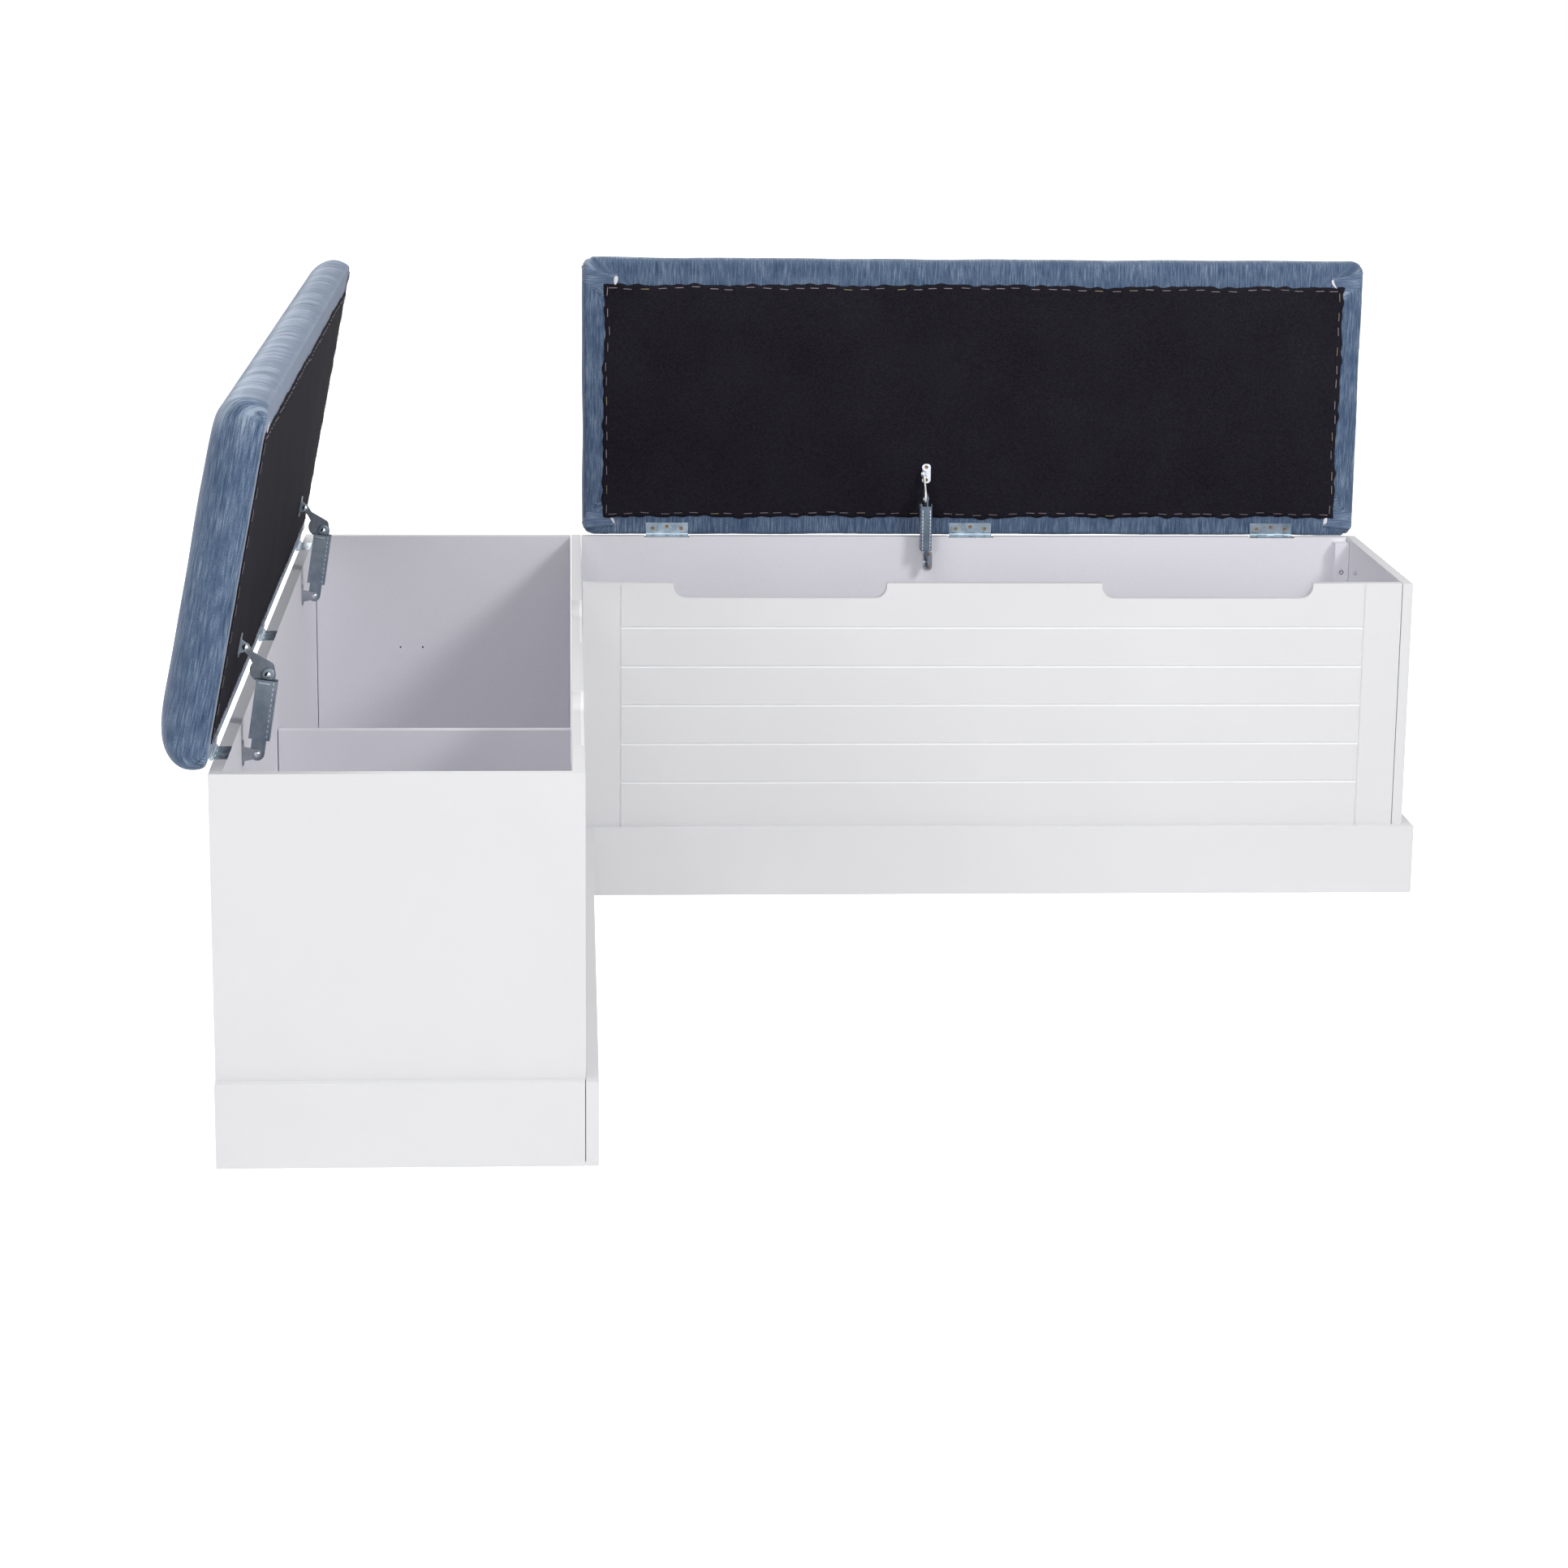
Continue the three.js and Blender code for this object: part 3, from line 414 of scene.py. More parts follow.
def chenille(name, lift=0):
    """The blue cloth. lift makes its shades paler: a painted sheen, for the folded flaps that catch light.
    """
    finish = Finish(name, Roughness=0.88, Sheen_Weight=0.75, Sheen_Roughness=0.4,
                    Sheen_Tint=colour(214, 222, 234), Specular_IOR_Level=0.2)
    cloth = finish.node("ShaderNodeUVMap", {"uv_map": "cloth"})

    def layer(waves, detail, roughness):
        return finish.noise(finish.scaled(cloth, (*waves, 0)), 1.0, detail, roughness)

    noises = {kind: layer(waves, 3.0, roughness)
              for kind, (waves, roughness, _) in cloth_layers.items()}
    tone = sum(share * noises[kind].spread() for kind, (_, _, share) in cloth_layers.items())
    # Down the free side the tone is streaked and, on the whole, lifted paler: painted sheen for light from
    # above
    from_middle = finish.split(cloth)[0]
    free_side = from_middle.spread(*free_side_start) * (1 - from_middle.spread(*free_side_end))
    streaks = layer(streak_waves, 5.0, 0.65)
    tone = tone + free_side * (streak_gain * streaks.spread(0.36, 0.64) - streak_dip)
    shades = [(stop, colour(*(part + lift for part in shade))) for stop, shade in cloth_shades]
    finish.set(Base_Color=finish.node("ShaderNodeValToRGB", {"stops": shades}, {0: tone}))
    pile = noises["yarn"] + 0.6 * noises["fine"] + 1.5 * free_side * streaks
    finish.bump(pile, pile_depth, 0.7)
    return finish.material


# A second, paler copy of the cloth paints sheen on the corner folds
blue_fabric = chenille("blue_chenille")
painted_sheen_fabric = chenille("painted_sheen_chenille", painted_sheen_lift)

# %% [markdown]
# ## Cushion covers
# The cloth is pulled over foam and turned in under the board. Its surface is a row of rounded
# rectangles from the middle of the underside to the ridge of the top: tucked in below, fullest at the
# belly, rounded at the shoulder and slightly crowned. Sides pull in a little between the corners,
# small seeded waves gather the cloth near the tuck, and each upright corner has a pleat.

# %% Sizes of a cover, in millimetres
lid_overhang, free_inset, end_inset = 6, 1.5, 1.5
axis_standoff = (left - corner_axis.x) / MM
lid_left = axis_standoff - lid_overhang
lid_right = axis_standoff + depth / MM - free_inset
underside = 1.8
tuck, belly, shoulder, shoulder_height, crown, waist = 7, 20, 46, 60, 4, 0.8
corner_radius, radius_gain = 19, 0.5
grid_step, corner_steps = 8, 12
under_end, border_start, border_end, border_fade = 62, 55, tuck + 3, 50
under_rings, border_rings, tuck_rings, shoulder_rings, crown_rings = 6, 9, 8, 17, 16
swell_depth = 0.9
gather_depth, gather_top, gather_inset, gather_below = 0.45, 22, 40, 0.25
pleat_depth, pleat_top, pleat_inset, pleat_bend, pleat_width = 1.6, 34, 12, 0.72, 0.10
dimple_depth, slow_dimple_depth, dimple_start, dimple_run = 0.9, 0.7, 20, 30
cover_seeds = {"corner": 11, "wall": 47}


# %% Cover surface
def outline_ring(half_x, half_y, radius, pull, long_steps, short_steps):
    """Points and outward directions round a rectangle with round corners. pull draws each side's
    middle inwards by a half sine wave."""
    points, outward = [], []
    half = np.array([half_x, half_y])
    for index, normal in enumerate(np.array([(0, 1), (-1, 0), (0, -1), (1, 0)])):
        tangent = np.array([-normal[1], normal[0]])
        angle = (index + np.linspace(0, 1, corner_steps + 1)) * np.pi / 2
        direction = np.stack([np.cos(angle), np.sin(angle)], -1)
        count = long_steps if index % 2 else short_steps
        share = np.arange(1, count)[:, None] / count
        reach, run = abs(normal) @ half, abs(tangent) @ half - radius
        points += [(normal - tangent) * (half - radius) + radius * direction,
                   normal * (reach - pull * np.sin(np.pi * share)) + tangent * run * (2 * share - 1)]
        outward += [direction, np.tile(normal, (len(share), 1))]
    return np.concatenate(points), np.concatenate(outward)


def cover_rows(half_x):
    """Inset, height and pull of each ring, from the middle of the underside to the crown's ridge."""
    under = [(inset, 0.0, 0.0) for inset in np.linspace(half_x, under_end, under_rings)]
    border = [(inset, 0.0, waist * (1 - (inset - tuck) / border_fade))
              for inset in np.linspace(border_start, border_end, border_rings)]
    angle = np.linspace(np.pi / 2, 0, tuck_rings)
    tucked = [(tuck * (1 - math.cos(a)), belly * (1 - math.sin(a)), waist) for a in angle]
    angle = np.linspace(0, np.pi / 2, shoulder_rings + 1)[1:]
    round_shoulder = [(shoulder * (1 - math.cos(a)), belly + (shoulder_height - belly) * math.sin(a),
                       waist * math.cos(a)) for a in angle]
    share = np.linspace(0, 1, crown_rings + 1)[1:]
    top = [(shoulder + (half_x - shoulder) * s, shoulder_height + crown * (1 - (1 - s) ** 2), 0.0)
           for s in share]
    return under + border + tucked + round_shoulder + top


def side_waves(along, outward, inset, height, seed):
    """How far the cloth swells, gathers above its tuck and is drawn in by the corners' pleats."""
    swell = swell_depth * ripple(along, seed + 2, (140, 210, 330))
    swell = swell * np.clip(1 - abs(height - belly) / shoulder, 0, 1) * (inset < shoulder)
    gather = gather_depth * ripple(along, seed + 1, (17, 23, 31))
    gather = gather * np.clip(1 - height / gather_top, 0, 1) * (inset < gather_inset)
    bend = np.abs(outward[:, 0] * outward[:, 1]) * 2
    pleat = pleat_depth * np.exp(-((bend - pleat_bend) / pleat_width) ** 2)
    pleat = pleat * np.clip(1 - height / pleat_top, 0, 1) * (inset < pleat_inset)
    return swell, gather, pleat


def top_dimples(ring, inset, height, seed):
    """How far the top rises and falls, away from its shoulder."""
    dimple = dimple_depth * ripple(ring[:, 0] + 0.35 * ring[:, 1], seed + 3, (120, 190, 310)) \
        + slow_dimple_depth * ripple(ring[:, 1], seed + 4, (150, 240, 420))
    return dimple * np.clip((inset - dimple_start) / dimple_run, 0, 1) * (height >= shoulder_height - 2)


def cover_surface(length, seed):
    """The cover as a grid of points in the shut lid's frame, with its map of the cloth.
    A point is a ring's point plus its outward direction times small waves. On the map it lies as far
    outside the crown as the cloth is long from there."""
    half_x, half_y = (lid_right - lid_left) / 2, (length - 2 * end_inset) / 2
    center = np.array([lid_left + half_x, length / 2])
    rows = cover_rows(half_x)
    steps = int(length / grid_step), int(2 * half_x / grid_step)
    rings, maps = [], []
    insets, heights, _ = np.array(rows).T
    strides = np.hypot(np.diff(insets), np.diff(heights))
    girth = np.concatenate([[0], np.cumsum(strides)])
    shoulder_girth = girth[len(rows) - crown_rings - 1]
    for girth_here, (inset, height, pull) in zip(girth, rows):
        radius = min(corner_radius + radius_gain * inset, half_x - inset)
        ring, outward = outline_ring(half_x - inset, half_y - inset, max(radius, 0.0), pull, *steps)
        along = ring[:, 0] * outward[:, 1] - ring[:, 1] * outward[:, 0]
        swell, gather, pleat = side_waves(along, outward, inset, height, seed)
        flat = ring + outward * (swell + gather * (height > 0) - pleat)[:, None]
        level = height + top_dimples(ring, inset, height, seed)
        level = level + gather_below * gather * (height == 0) * (inset > tuck)
        rings.append(np.column_stack([flat + center, np.broadcast_to(level, len(flat)) + underside]))
        outside = max(shoulder_girth - girth_here - shoulder + inset, 0)
        maps.append((ring + outward * outside) * MM)
    return np.array(rings), np.array(maps)


def make_cover(name):
    points, cloth = cover_surface(lid_lengths[name], cover_seeds[name])
    faces = grid_faces(*points.shape[:2], around=True)
    made = lid_piece(name, "cover", points, faces, blue_fabric, "blue_fabric", cloth)
    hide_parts(name + "_cushion", name + "_foam")


for name in lid_frames:
    make_cover(name)

# %% [markdown]
# ## Corner folds
# On the underside the cloth of each end is folded over the cloth of the long sides, which leaves a
# flap with one crisp edge. A spot of white glue holds its tip. The flap is a thin plate: it rises
# sharply at the fold and sinks into the cover where it runs on as the end's own cloth.

# %% Fold shape
# A flap's profile across its fold: how far behind the fold, and how high over the cover
fold_offset = np.array([1.6, 1.6, 0.9, 0, 0.4, 1.6, 4, 8, 14, 22, 30])
fold_height = np.array([0, 0.2, 0.6, 1.4, 2.0, 2.2, 1.9, 1.3, 0.7, 0.2, -0.3])
underneath = -0.4
fold_start_a, fold_start_b, fold_bow, fold_waver = 2.5, 11, 0.8, 0.5
flap_reach, free_reach, far_reach = 50, 4, -3
hinge_drop, free_drop, deep_drop = 15, 24, 20


def fold_surface(reach, drop):
    """One flap in the corner's own frame: a runs along the long side, b inwards from it, and the third
    grid is the height over the cover. Its fold curves from the corner to the flap's tip and is rolled
    over a little. Its outermost points lie under the cover, where a flat grid closes it."""
    share = np.append(np.linspace(0, 1, 22), 1.0)
    fold_a = fold_start_a + (reach - fold_start_a) * share
    fold_b = fold_start_b + (drop - fold_start_b) * np.sin(share * np.pi / 2) ** fold_bow \
        + fold_waver * np.sin(share * 9)
    grid_a = fold_a[None, :] + 0 * fold_offset[:, None]
    grid_b = fold_b[None, :] + fold_offset[:, None]
    on_board = 1 - 0.4 * np.clip((corner_radius - grid_a) / 4, 0, 1)
    thickness = 1.0 if drop > deep_drop else 0.7
    rise = fold_height[:, None] * np.clip((grid_a - 1) / 6, 0, 1) * np.minimum(on_board, thickness)
    rise[[0, -1], :] = underneath
    rise[:, [0, -1]] = underneath
    return grid_a, grid_b, rise


def tuck_height(a, b):
    """How high the cover's tucked edge stands over its flat underside, a and b from the corner: a
    quarter of an ellipse across the tuck, which follows the round corner."""
    short_of_a, short_of_b = (np.clip(corner_radius - place, 0, None) for place in (a, b))
    inset = corner_radius - np.hypot(short_of_a, short_of_b)
    share = 1 - np.clip(inset / tuck, 0.05, 1)
    return belly * (1 - np.sqrt(1 - share ** 2))


def flap_sizes(name):
    """Each corner's reach and drop, with the corner's place and the directions that lead inwards."""
    length = lid_lengths[name]
    for end, (y_start, y_sign) in enumerate([(end_inset, 1), (length - end_inset, -1)]):
        for edge, (x_start, x_sign) in enumerate([(lid_left, 1), (lid_right, -1)]):
            reach = flap_reach + free_reach * edge + far_reach * end
            yield reach, free_drop if edge else hinge_drop, (x_start, x_sign), (y_start, y_sign)


def make_folds(name):
    """Four flaps, one for each corner of a lid."""
    points, faces, cloth, count = [], [], [], 0
    for reach, drop, (x_start, x_sign), (y_start, y_sign) in flap_sizes(name):
        along, inwards, rise = fold_surface(reach, drop)
        for level in (rise, np.full_like(rise, underneath)):
            grid = np.stack([x_start + x_sign * inwards, y_start + y_sign * along,
                             underside + tuck_height(along, inwards) - level], -1)
            points.append(grid.reshape(-1, 3))
            faces.append(grid_faces(*along.shape) + count)
            cloth.append(np.stack([along, inwards], -1).reshape(-1, 2) * MM)
            count += along.size
    # The flaps wear the paler copy of the cloth: painted sheen
    lid_piece(name, "corner_folds", np.concatenate(points), np.concatenate(faces), painted_sheen_fabric,
              "blue_fabric", np.concatenate(cloth))


for name in lid_frames:
    make_folds(name)

# %% Glue
white_plastic = Finish("white_plastic", Base_Color=colour(226, 226, 230), Roughness=0.35).material
round_steps = 24
dome_share = [0, 0.3, 0.55, 0.75, 0.9, 1.0, 1.0, 0.0]
dome_level = [1, 0.95, 0.83, 0.66, 0.42, 0.0, -0.6, -0.6]
glue_half_length, glue_height, glue_back = 8, 0.8, 2
straight_spot, bent_spot = (3.2, 0.6), (2.1, 3.0)
over_deep_flap, over_flap = 1.5, 0.5


def turned(share, level):
    """A closed round shape: a profile of radius and height carried round the Z axis."""
    angle = np.linspace(0, 2 * np.pi, round_steps, endpoint=False)
    ring = np.array(share)[:, None] * np.stack([np.cos(angle), np.sin(angle)])[:, None, :]
    points = np.stack([ring[0], ring[1], np.array(level)[:, None] + 0 * ring[0]], -1)
    return points, grid_faces(len(share), round_steps, around=True)


dome = turned(dome_share, dome_level)


def make_glue(name):
    """A curved spot of glue at the tip of each flap, half under the dust cover."""
    unit, faces = dome
    points, all_faces = [], []
    for index, (reach, drop, (x_start, x_sign), (y_start, y_sign)) in enumerate(flap_sizes(name)):
        width, bend = straight_spot if index % 3 else bent_spot
        inwards = drop + glue_half_length + glue_half_length * unit[..., 0]
        along = reach - glue_back + width * unit[..., 1]
        along = along - bend * unit[..., 0] ** 2 - bend * unit[..., 0]
        lift = over_deep_flap if drop > deep_drop else over_flap
        spot = np.stack([x_start + x_sign * inwards, y_start + y_sign * along,
                         underside - lift - glue_height * unit[..., 2]], -1)
        points.append(spot.reshape(-1, 3))
        all_faces.append(faces + index * unit[..., 0].size)
    lid_piece(name, "glue_spots", np.concatenate(points), np.concatenate(all_faces), white_plastic,
              "white_paint")


for name in lid_frames:
    make_glue(name)

# %% [markdown]
# ## Dust covers
# A black non-woven sheet hides the raw board and the cut ends of the cloth. It is cut by eye, so its
# edge wanders, and it is stapled all round, so it puckers between the staples. Its grid is a plain
# rectangle whose four edges follow wandering lines.


# %% Dust cover finish
def dust_cloth():
    finish = Finish("dust_cloth", Roughness=0.95, Specular_IOR_Level=0.08)
    felt = finish.noise(finish.point(), 420.0, 3.0)
    cloud = finish.noise(finish.point(), 9.0, 2.0)
    tone = 0.7 * felt.spread() + 0.3 * cloud.spread()
    finish.set(Base_Color=finish.mix(tone, colour(22, 20, 26), colour(40, 38, 46)))
    finish.bump(felt, 0.2 * MM, 0.8)
    return finish.material


black_cloth = dust_cloth()

# %% Dust cover shape, in millimetres
end_border = 33
dust_edges = {"hinge": tuck + 23, "free": tuck + 31.5}
edge_seeds = {"hinge": 5, "free": 6, "near": 7, "far": 8}
slow_wander, quick_wander = 3.2, 1.9
dust_step, dust_gap, dust_thickness = 5, 0.75, 0.6
pucker_depth, pucker_line, pucker_width = 0.5, 9, 8
sag_depth, sag_run = 0.35, 60


def dust_rectangle(length):
    """The sheet's plain rectangle in the shut lid's frame: first and last X, first and last Y."""
    return (lid_left + dust_edges["hinge"], lid_right - dust_edges["free"],
            end_inset + end_border, length - end_inset - end_border)


def dust_edge(side, place):
    """How far an edge wanders from its straight line, positive outwards."""
    seed = edge_seeds[side]
    return slow_wander * ripple(place, seed, (97, 181, 330, 640)) \
        + quick_wander * ripple(place, seed + 20, (22, 29, 41))


def dust_surface(length):
    """The sheet as a grid in the shut lid's frame. Between staples, near the edges, it bulges."""
    x0, x1, y0, y1 = dust_rectangle(length)
    a = np.linspace(0, 1, int((x1 - x0) / dust_step))[:, None]
    b = np.linspace(0, 1, int((y1 - y0) / dust_step))[None, :]
    plain_x, plain_y = x0 + (x1 - x0) * a + 0 * b, y0 + (y1 - y0) * b + 0 * a
    x = plain_x - (1 - a) * dust_edge("hinge", plain_y) + a * dust_edge("free", plain_y)
    y = plain_y - (1 - b) * dust_edge("near", plain_x) + b * dust_edge("far", plain_x)
    edge = np.minimum(np.minimum(plain_x - x0, x1 - plain_x), np.minimum(plain_y - y0, y1 - plain_y))
    near_edge = np.exp(-((edge - pucker_line) / pucker_width) ** 2)
    pucker = pucker_depth * near_edge * (1 + ripple(plain_x + plain_y, 31, (27, 39)))
    sag = sag_depth * (1 + ripple(plain_x * 1.7 + plain_y, 33, (170, 260)))
    z = underside - dust_gap - pucker - sag * np.clip(edge / sag_run, 0, 1)
    return np.stack([x, y, z], -1), (x1 - x0, y1 - y0)


def make_dust_cover(name):
    points, flat = dust_surface(lid_lengths[name])
    made = lid_piece(name, "dust_sheet", points, grid_faces(*points.shape[:2]), black_cloth, "black_cloth")
    wall = made.modifiers.new("thickness", "SOLIDIFY")
    wall.thickness, wall.offset = dust_thickness * MM, 0.0
    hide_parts(name + "_dust_cover")
    print(name, "dust cover, flat mm:", [round(v) for v in flat])


for name in lid_frames:
    make_dust_cover(name)

# %% [markdown]
# ## Metal finishes
# Hinges and stays are zinc-plated pressed steel: a cool grey with faint cloudy spangles and a low
# shine. The screws are yellow-plated, and the staples are plain wire in shades of their own. Some
# finishes are paler or darker copies of that steel, which paint light and shade: a painted highlight
# on the wall stay's lid bracket and arm and on the stays' pressed marks, painted shade on the wall
# stay's strut, and a painted glint on the rivet heads.

# %% Metal finish
spangle, fine_spangle, staple_spangle = 60.0, 400.0, 30.0
brush_waves = (1200, 1200, 160)


def metal(name, dark, light, roughness, cloud_scale=spangle):
    finish = Finish(name, Metallic=1.0)
    cloud = finish.noise(finish.point(), cloud_scale, 3.0)
    brushed = finish.noise(finish.scaled(finish.point(), brush_waves), 1.0, 2.0)
    tone = 0.65 * cloud.spread() + 0.35 * brushed.spread()
    finish.set(Base_Color=finish.mix(tone, colour(*dark), colour(*light)),
               Roughness=roughness + 0.12 * cloud)
    finish.bump(brushed, 0.03 * MM, 0.4)
    return finish.material


zinc = metal("zinc_plate", (140, 158, 172), (188, 203, 214), 0.22)
# A paler copy of the plating: a painted highlight, for the wall stay's lid bracket and the pressed marks
painted_highlight_plate = metal("painted_highlight_plate", (186, 192, 206), (222, 224, 234), 0.3)
pale_plate = metal("pale_plate", (146, 154, 164), (180, 186, 194), 0.32)
stay_steel = metal("stay_steel", (118, 132, 144), (152, 164, 174), 0.3)
arm_steel = metal("arm_steel", (104, 110, 120), (136, 142, 152), 0.34)
# A paler copy of the arm steel: a painted highlight on the wall stay's arm
painted_highlight_arm = metal("painted_highlight_arm", (176, 178, 180), (214, 214, 210), 0.3)
# A darker copy of the strut steel: painted shade that tones down the wall strut's reflection
wall_strut_steel = metal("wall_strut_steel", (78, 90, 102), (104, 116, 128), 0.34)
# Near-white steel for the rivet heads: a painted glint
glint_painted_rivet_steel = metal("glint_painted_rivet_steel", (214, 218, 226), (240, 242, 246), 0.16)
copper = metal("yellow_plate", (112, 88, 66), (168, 138, 104), 0.36, fine_spangle)
olive = metal("olive_plate", (40, 31, 14), (78, 63, 32), 0.6, fine_spangle)
staple_silver = metal("staple_wire", (96, 88, 94), (138, 126, 134), 0.42, staple_spangle)
staple_gold = metal("staple_wire_gold", (104, 96, 78), (136, 126, 104), 0.42, staple_spangle)

# %% Steel parts with soft edges
hinges = {
    "corner": ["corner_near", "corner_middle", "corner_far"],
    "wall": ["wall_left", "wall_middle", "wall_right"],
}
stays = {"corner": ["corner_near", "corner_far"], "wall": ["wall"]}
all_stays = [(lid, name) for lid, names in stays.items() for name in names]
# The wall stay's pieces are lit and shaded copies of the same steel: painted highlight and painted shade
stay_finishes = {
    "corner": {"bracket": stay_steel, "arm": arm_steel, "strut": stay_steel},
    "wall": {"bracket": painted_highlight_plate, "arm": painted_highlight_arm, "strut": wall_strut_steel},
}
steel_edge, steel_angle = 0.22 * MM, 50
wire_edge, wire_angle = 0.05 * MM, 70
for lid, names in hinges.items():
    for name in names:
        for part, body in (("box_leaf", "boxes"), ("lid_leaf", lid + "_lid"), ("pin", "boxes")):
            softened(f"{name}_hinge_{part}", zinc, steel_edge, body, steel_angle)
for lid, name in all_stays:
    finish = stay_finishes[lid]
    for part, material, body, slot in (
            ("lid_bracket", finish["bracket"], lid + "_lid", "zinc_steel"),
            ("wall_bracket", pale_plate, "boxes", "zinc_steel"),
            ("arm", finish["arm"], name + "_arm", "dark_steel"),
            ("strut", finish["strut"], name + "_strut", "dark_steel")):
        softened(f"{name}_stay_{part}", material, steel_edge, body, steel_angle)
    softened(name + "_stay_spring", zinc, wire_edge, name + "_strut", wire_angle)

# %% [markdown]
# ## Screws
# Each screw is a countersunk head with a cross recess: a polar grid whose height drops inside two
# crossing bars and at the rim. The same head stands at every hole, turned to face out.

# %% Screw head
# The head's profile, from the middle of its face to the tip of its cone, as shares of its radius
head_share = np.array([0.0, 0.12, 0.25, 0.38, 0.5, 0.62, 0.8, 0.94, 1.0, 0.55, 0.0])
head_level = np.array([0, 0, 0, 0, 0, 0, 0, -0.01, -0.04, -0.3, -0.3])
face_rings, head_steps = 7, 32
recess_half_width, recess_half_length, recess_depth = 0.17, 0.58, 0.7
screw_radius, cleat_screw_radius = 2.9, 4.3


def screw_head(radius):
    """A head with its face at height 0: a disc with a cross recess, closed by a cone below."""
    angle = np.linspace(0, 2 * np.pi, head_steps, endpoint=False)
    x = head_share[:, None] * np.cos(angle)[None, :]
    y = head_share[:, None] * np.sin(angle)[None, :]
    narrow, wide = np.minimum(abs(x), abs(y)), np.maximum(abs(x), abs(y))
    recess = np.clip((recess_half_width - narrow) / 0.06, 0, 1) \
        * np.clip((recess_half_length - wide) / 0.1, 0, 1)
    face = np.arange(len(head_share)) < face_rings
    z = radius * head_level[:, None] - recess_depth * recess * face[:, None]
    return np.stack([radius * x, radius * y, z], -1), grid_faces(len(head_share), head_steps, around=True)


def facing(place, normal, matrix, turn=0):
    """A matrix in metres that sets a head at a place of a frame, facing along the normal."""
    upright = Vector((0, 0, 1)).rotation_difference(Vector(normal)).to_matrix().to_4x4()
    return matrix @ Matrix.Translation(Vector(place) * MM) @ upright @ Matrix.Rotation(turn, 4, "Z")


def make_screws(name, places, matrix, body, radius=screw_radius, material=copper):
    """One piece with a head at each place, a place being a point and the direction it faces."""
    turns = np.random.default_rng(len(places) + len(name)).uniform(0, np.pi / 2, len(places))
    matrices = [facing(place, normal, matrix, turn) for (place, normal), turn in zip(places, turns)]
    piece(name, *screw_head(radius), matrices, material, body, "zinc_steel")


rivet_size, washer_size = (3.6, 3.6, 1.5), (8.2, 8.2, 1.5)


def make_stud(name, place, matrix, body, normal=(0, -1, 0), size=rivet_size, material=glint_painted_rivet_steel,
              slot="zinc_steel", shape=dome):
    """One small turned piece at a place of a frame, facing along the normal: a rivet, or the like."""
    unit, faces = shape
    piece(name, unit * np.array(size), faces, [facing(place, normal, matrix)], material, body, slot)


# %% Screw places, in millimetres in the hinge frame and in the shut lid's frame
lid_pivot, wall_pivot = (95, -7.2), (36, -37.3)
leaf_screws, leaf_face = [(9, -22), (12, 0), (9, 22)], 0.2
bracket_half, bracket_shift = 10, 0.7
lid_bracket_face, wall_bracket_face = -1.25, 19.95


def along_axis(node, lid):
    """How far a node's middle lies along the hinge axis, in millimetres."""
    return (hinge_frames[lid].inverted() @ middle(node)).y / MM


for lid, names in hinges.items():
    leaves = [along_axis(hinge + "_hinge_box_leaf", lid) for hinge in names]
    lid_plates = [along_axis(stay + "_stay_lid_bracket", lid) + bracket_shift for stay in stays[lid]]
    wall_plates = [along_axis(stay + "_stay_wall_bracket", lid) + bracket_shift for stay in stays[lid]]
    on_box = [((x, y + step, -leaf_face), (0, 0, 1)) for y in leaves for x, step in leaf_screws]
    on_lid = [((x, y + step, leaf_face), (0, 0, -1)) for y in leaves for x, step in leaf_screws]
    on_lid += [((lid_pivot[0] + side * bracket_half, y, lid_bracket_face), (0, 0, -1))
               for y in lid_plates for side in (-1, 1)]
    on_wall = [((wall_bracket_face, y, wall_pivot[1] + side * bracket_half), (1, 0, 0))
               for y in wall_plates for side in (-1, 1)]
    make_screws(lid + "_box_leaf_screws", on_box, hinge_frames[lid], "boxes")
    make_screws(lid + "_lid_screws", on_lid, lid_frames[lid], lid + "_lid")
    make_screws(lid + "_wall_bracket_screws", on_wall, hinge_frames[lid], "boxes")

# %% Cleat screws and a cap
cleat_faces = [("wall_rear_cleat", -1), ("wall_front_cleat", 1), ("corner_near_left_cleat", 1),
               ("corner_near_right_cleat", 1)]
cleat_screw_drop = 45
cap_from_back, cap_from_rim, cap_size = 94, 42, (3.4, 3.4, 5.0)


def on_cleat(node, side):
    """A place on a cleat's near or far face, below its top, with the face's direction."""
    low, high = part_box(node)
    place = (low + high) / 2
    place.y = (high if side > 0 else low).y
    place.z = high.z - cleat_screw_drop * MM
    return place / MM, (0, side, 0)


make_screws("cleat_screws", [on_cleat(*face) for face in cleat_faces], Matrix(), "boxes",
            cleat_screw_radius, olive)
grey_plastic = Finish("grey_plastic", Base_Color=colour(196, 196, 203), Roughness=0.5).material
cap_place = Vector((right - board, far - cap_from_back * MM, rim - cap_from_rim * MM)) / MM
make_stud("end_board_cap", cap_place, Matrix(), "boxes", (-1, 0, 0), cap_size, grey_plastic, "white_paint")

# %% [markdown]
# ## Pressed marks
# The press leaves a short raised line on each hinge leaf, and rows of dashes and two bars on each
# stay's housing. All are small blocks that stand a little proud of the sheet. The stays' marks are in
# a paler copy of the plating: a painted highlight on their edges.


# %% Pressed marks
def block(long, wide, high):
    """A closed block about the origin."""
    corners = np.array([(x, y, z) for x in (-1, 1) for y in (-1, 1) for z in (-1, 1)], float)
    faces = [(0, 1, 3, 2), (4, 6, 7, 5), (0, 4, 5, 1), (2, 3, 7, 6), (0, 2, 6, 4), (1, 5, 7, 3)]
    return corners * np.array([long, wide, high]) / 2, faces


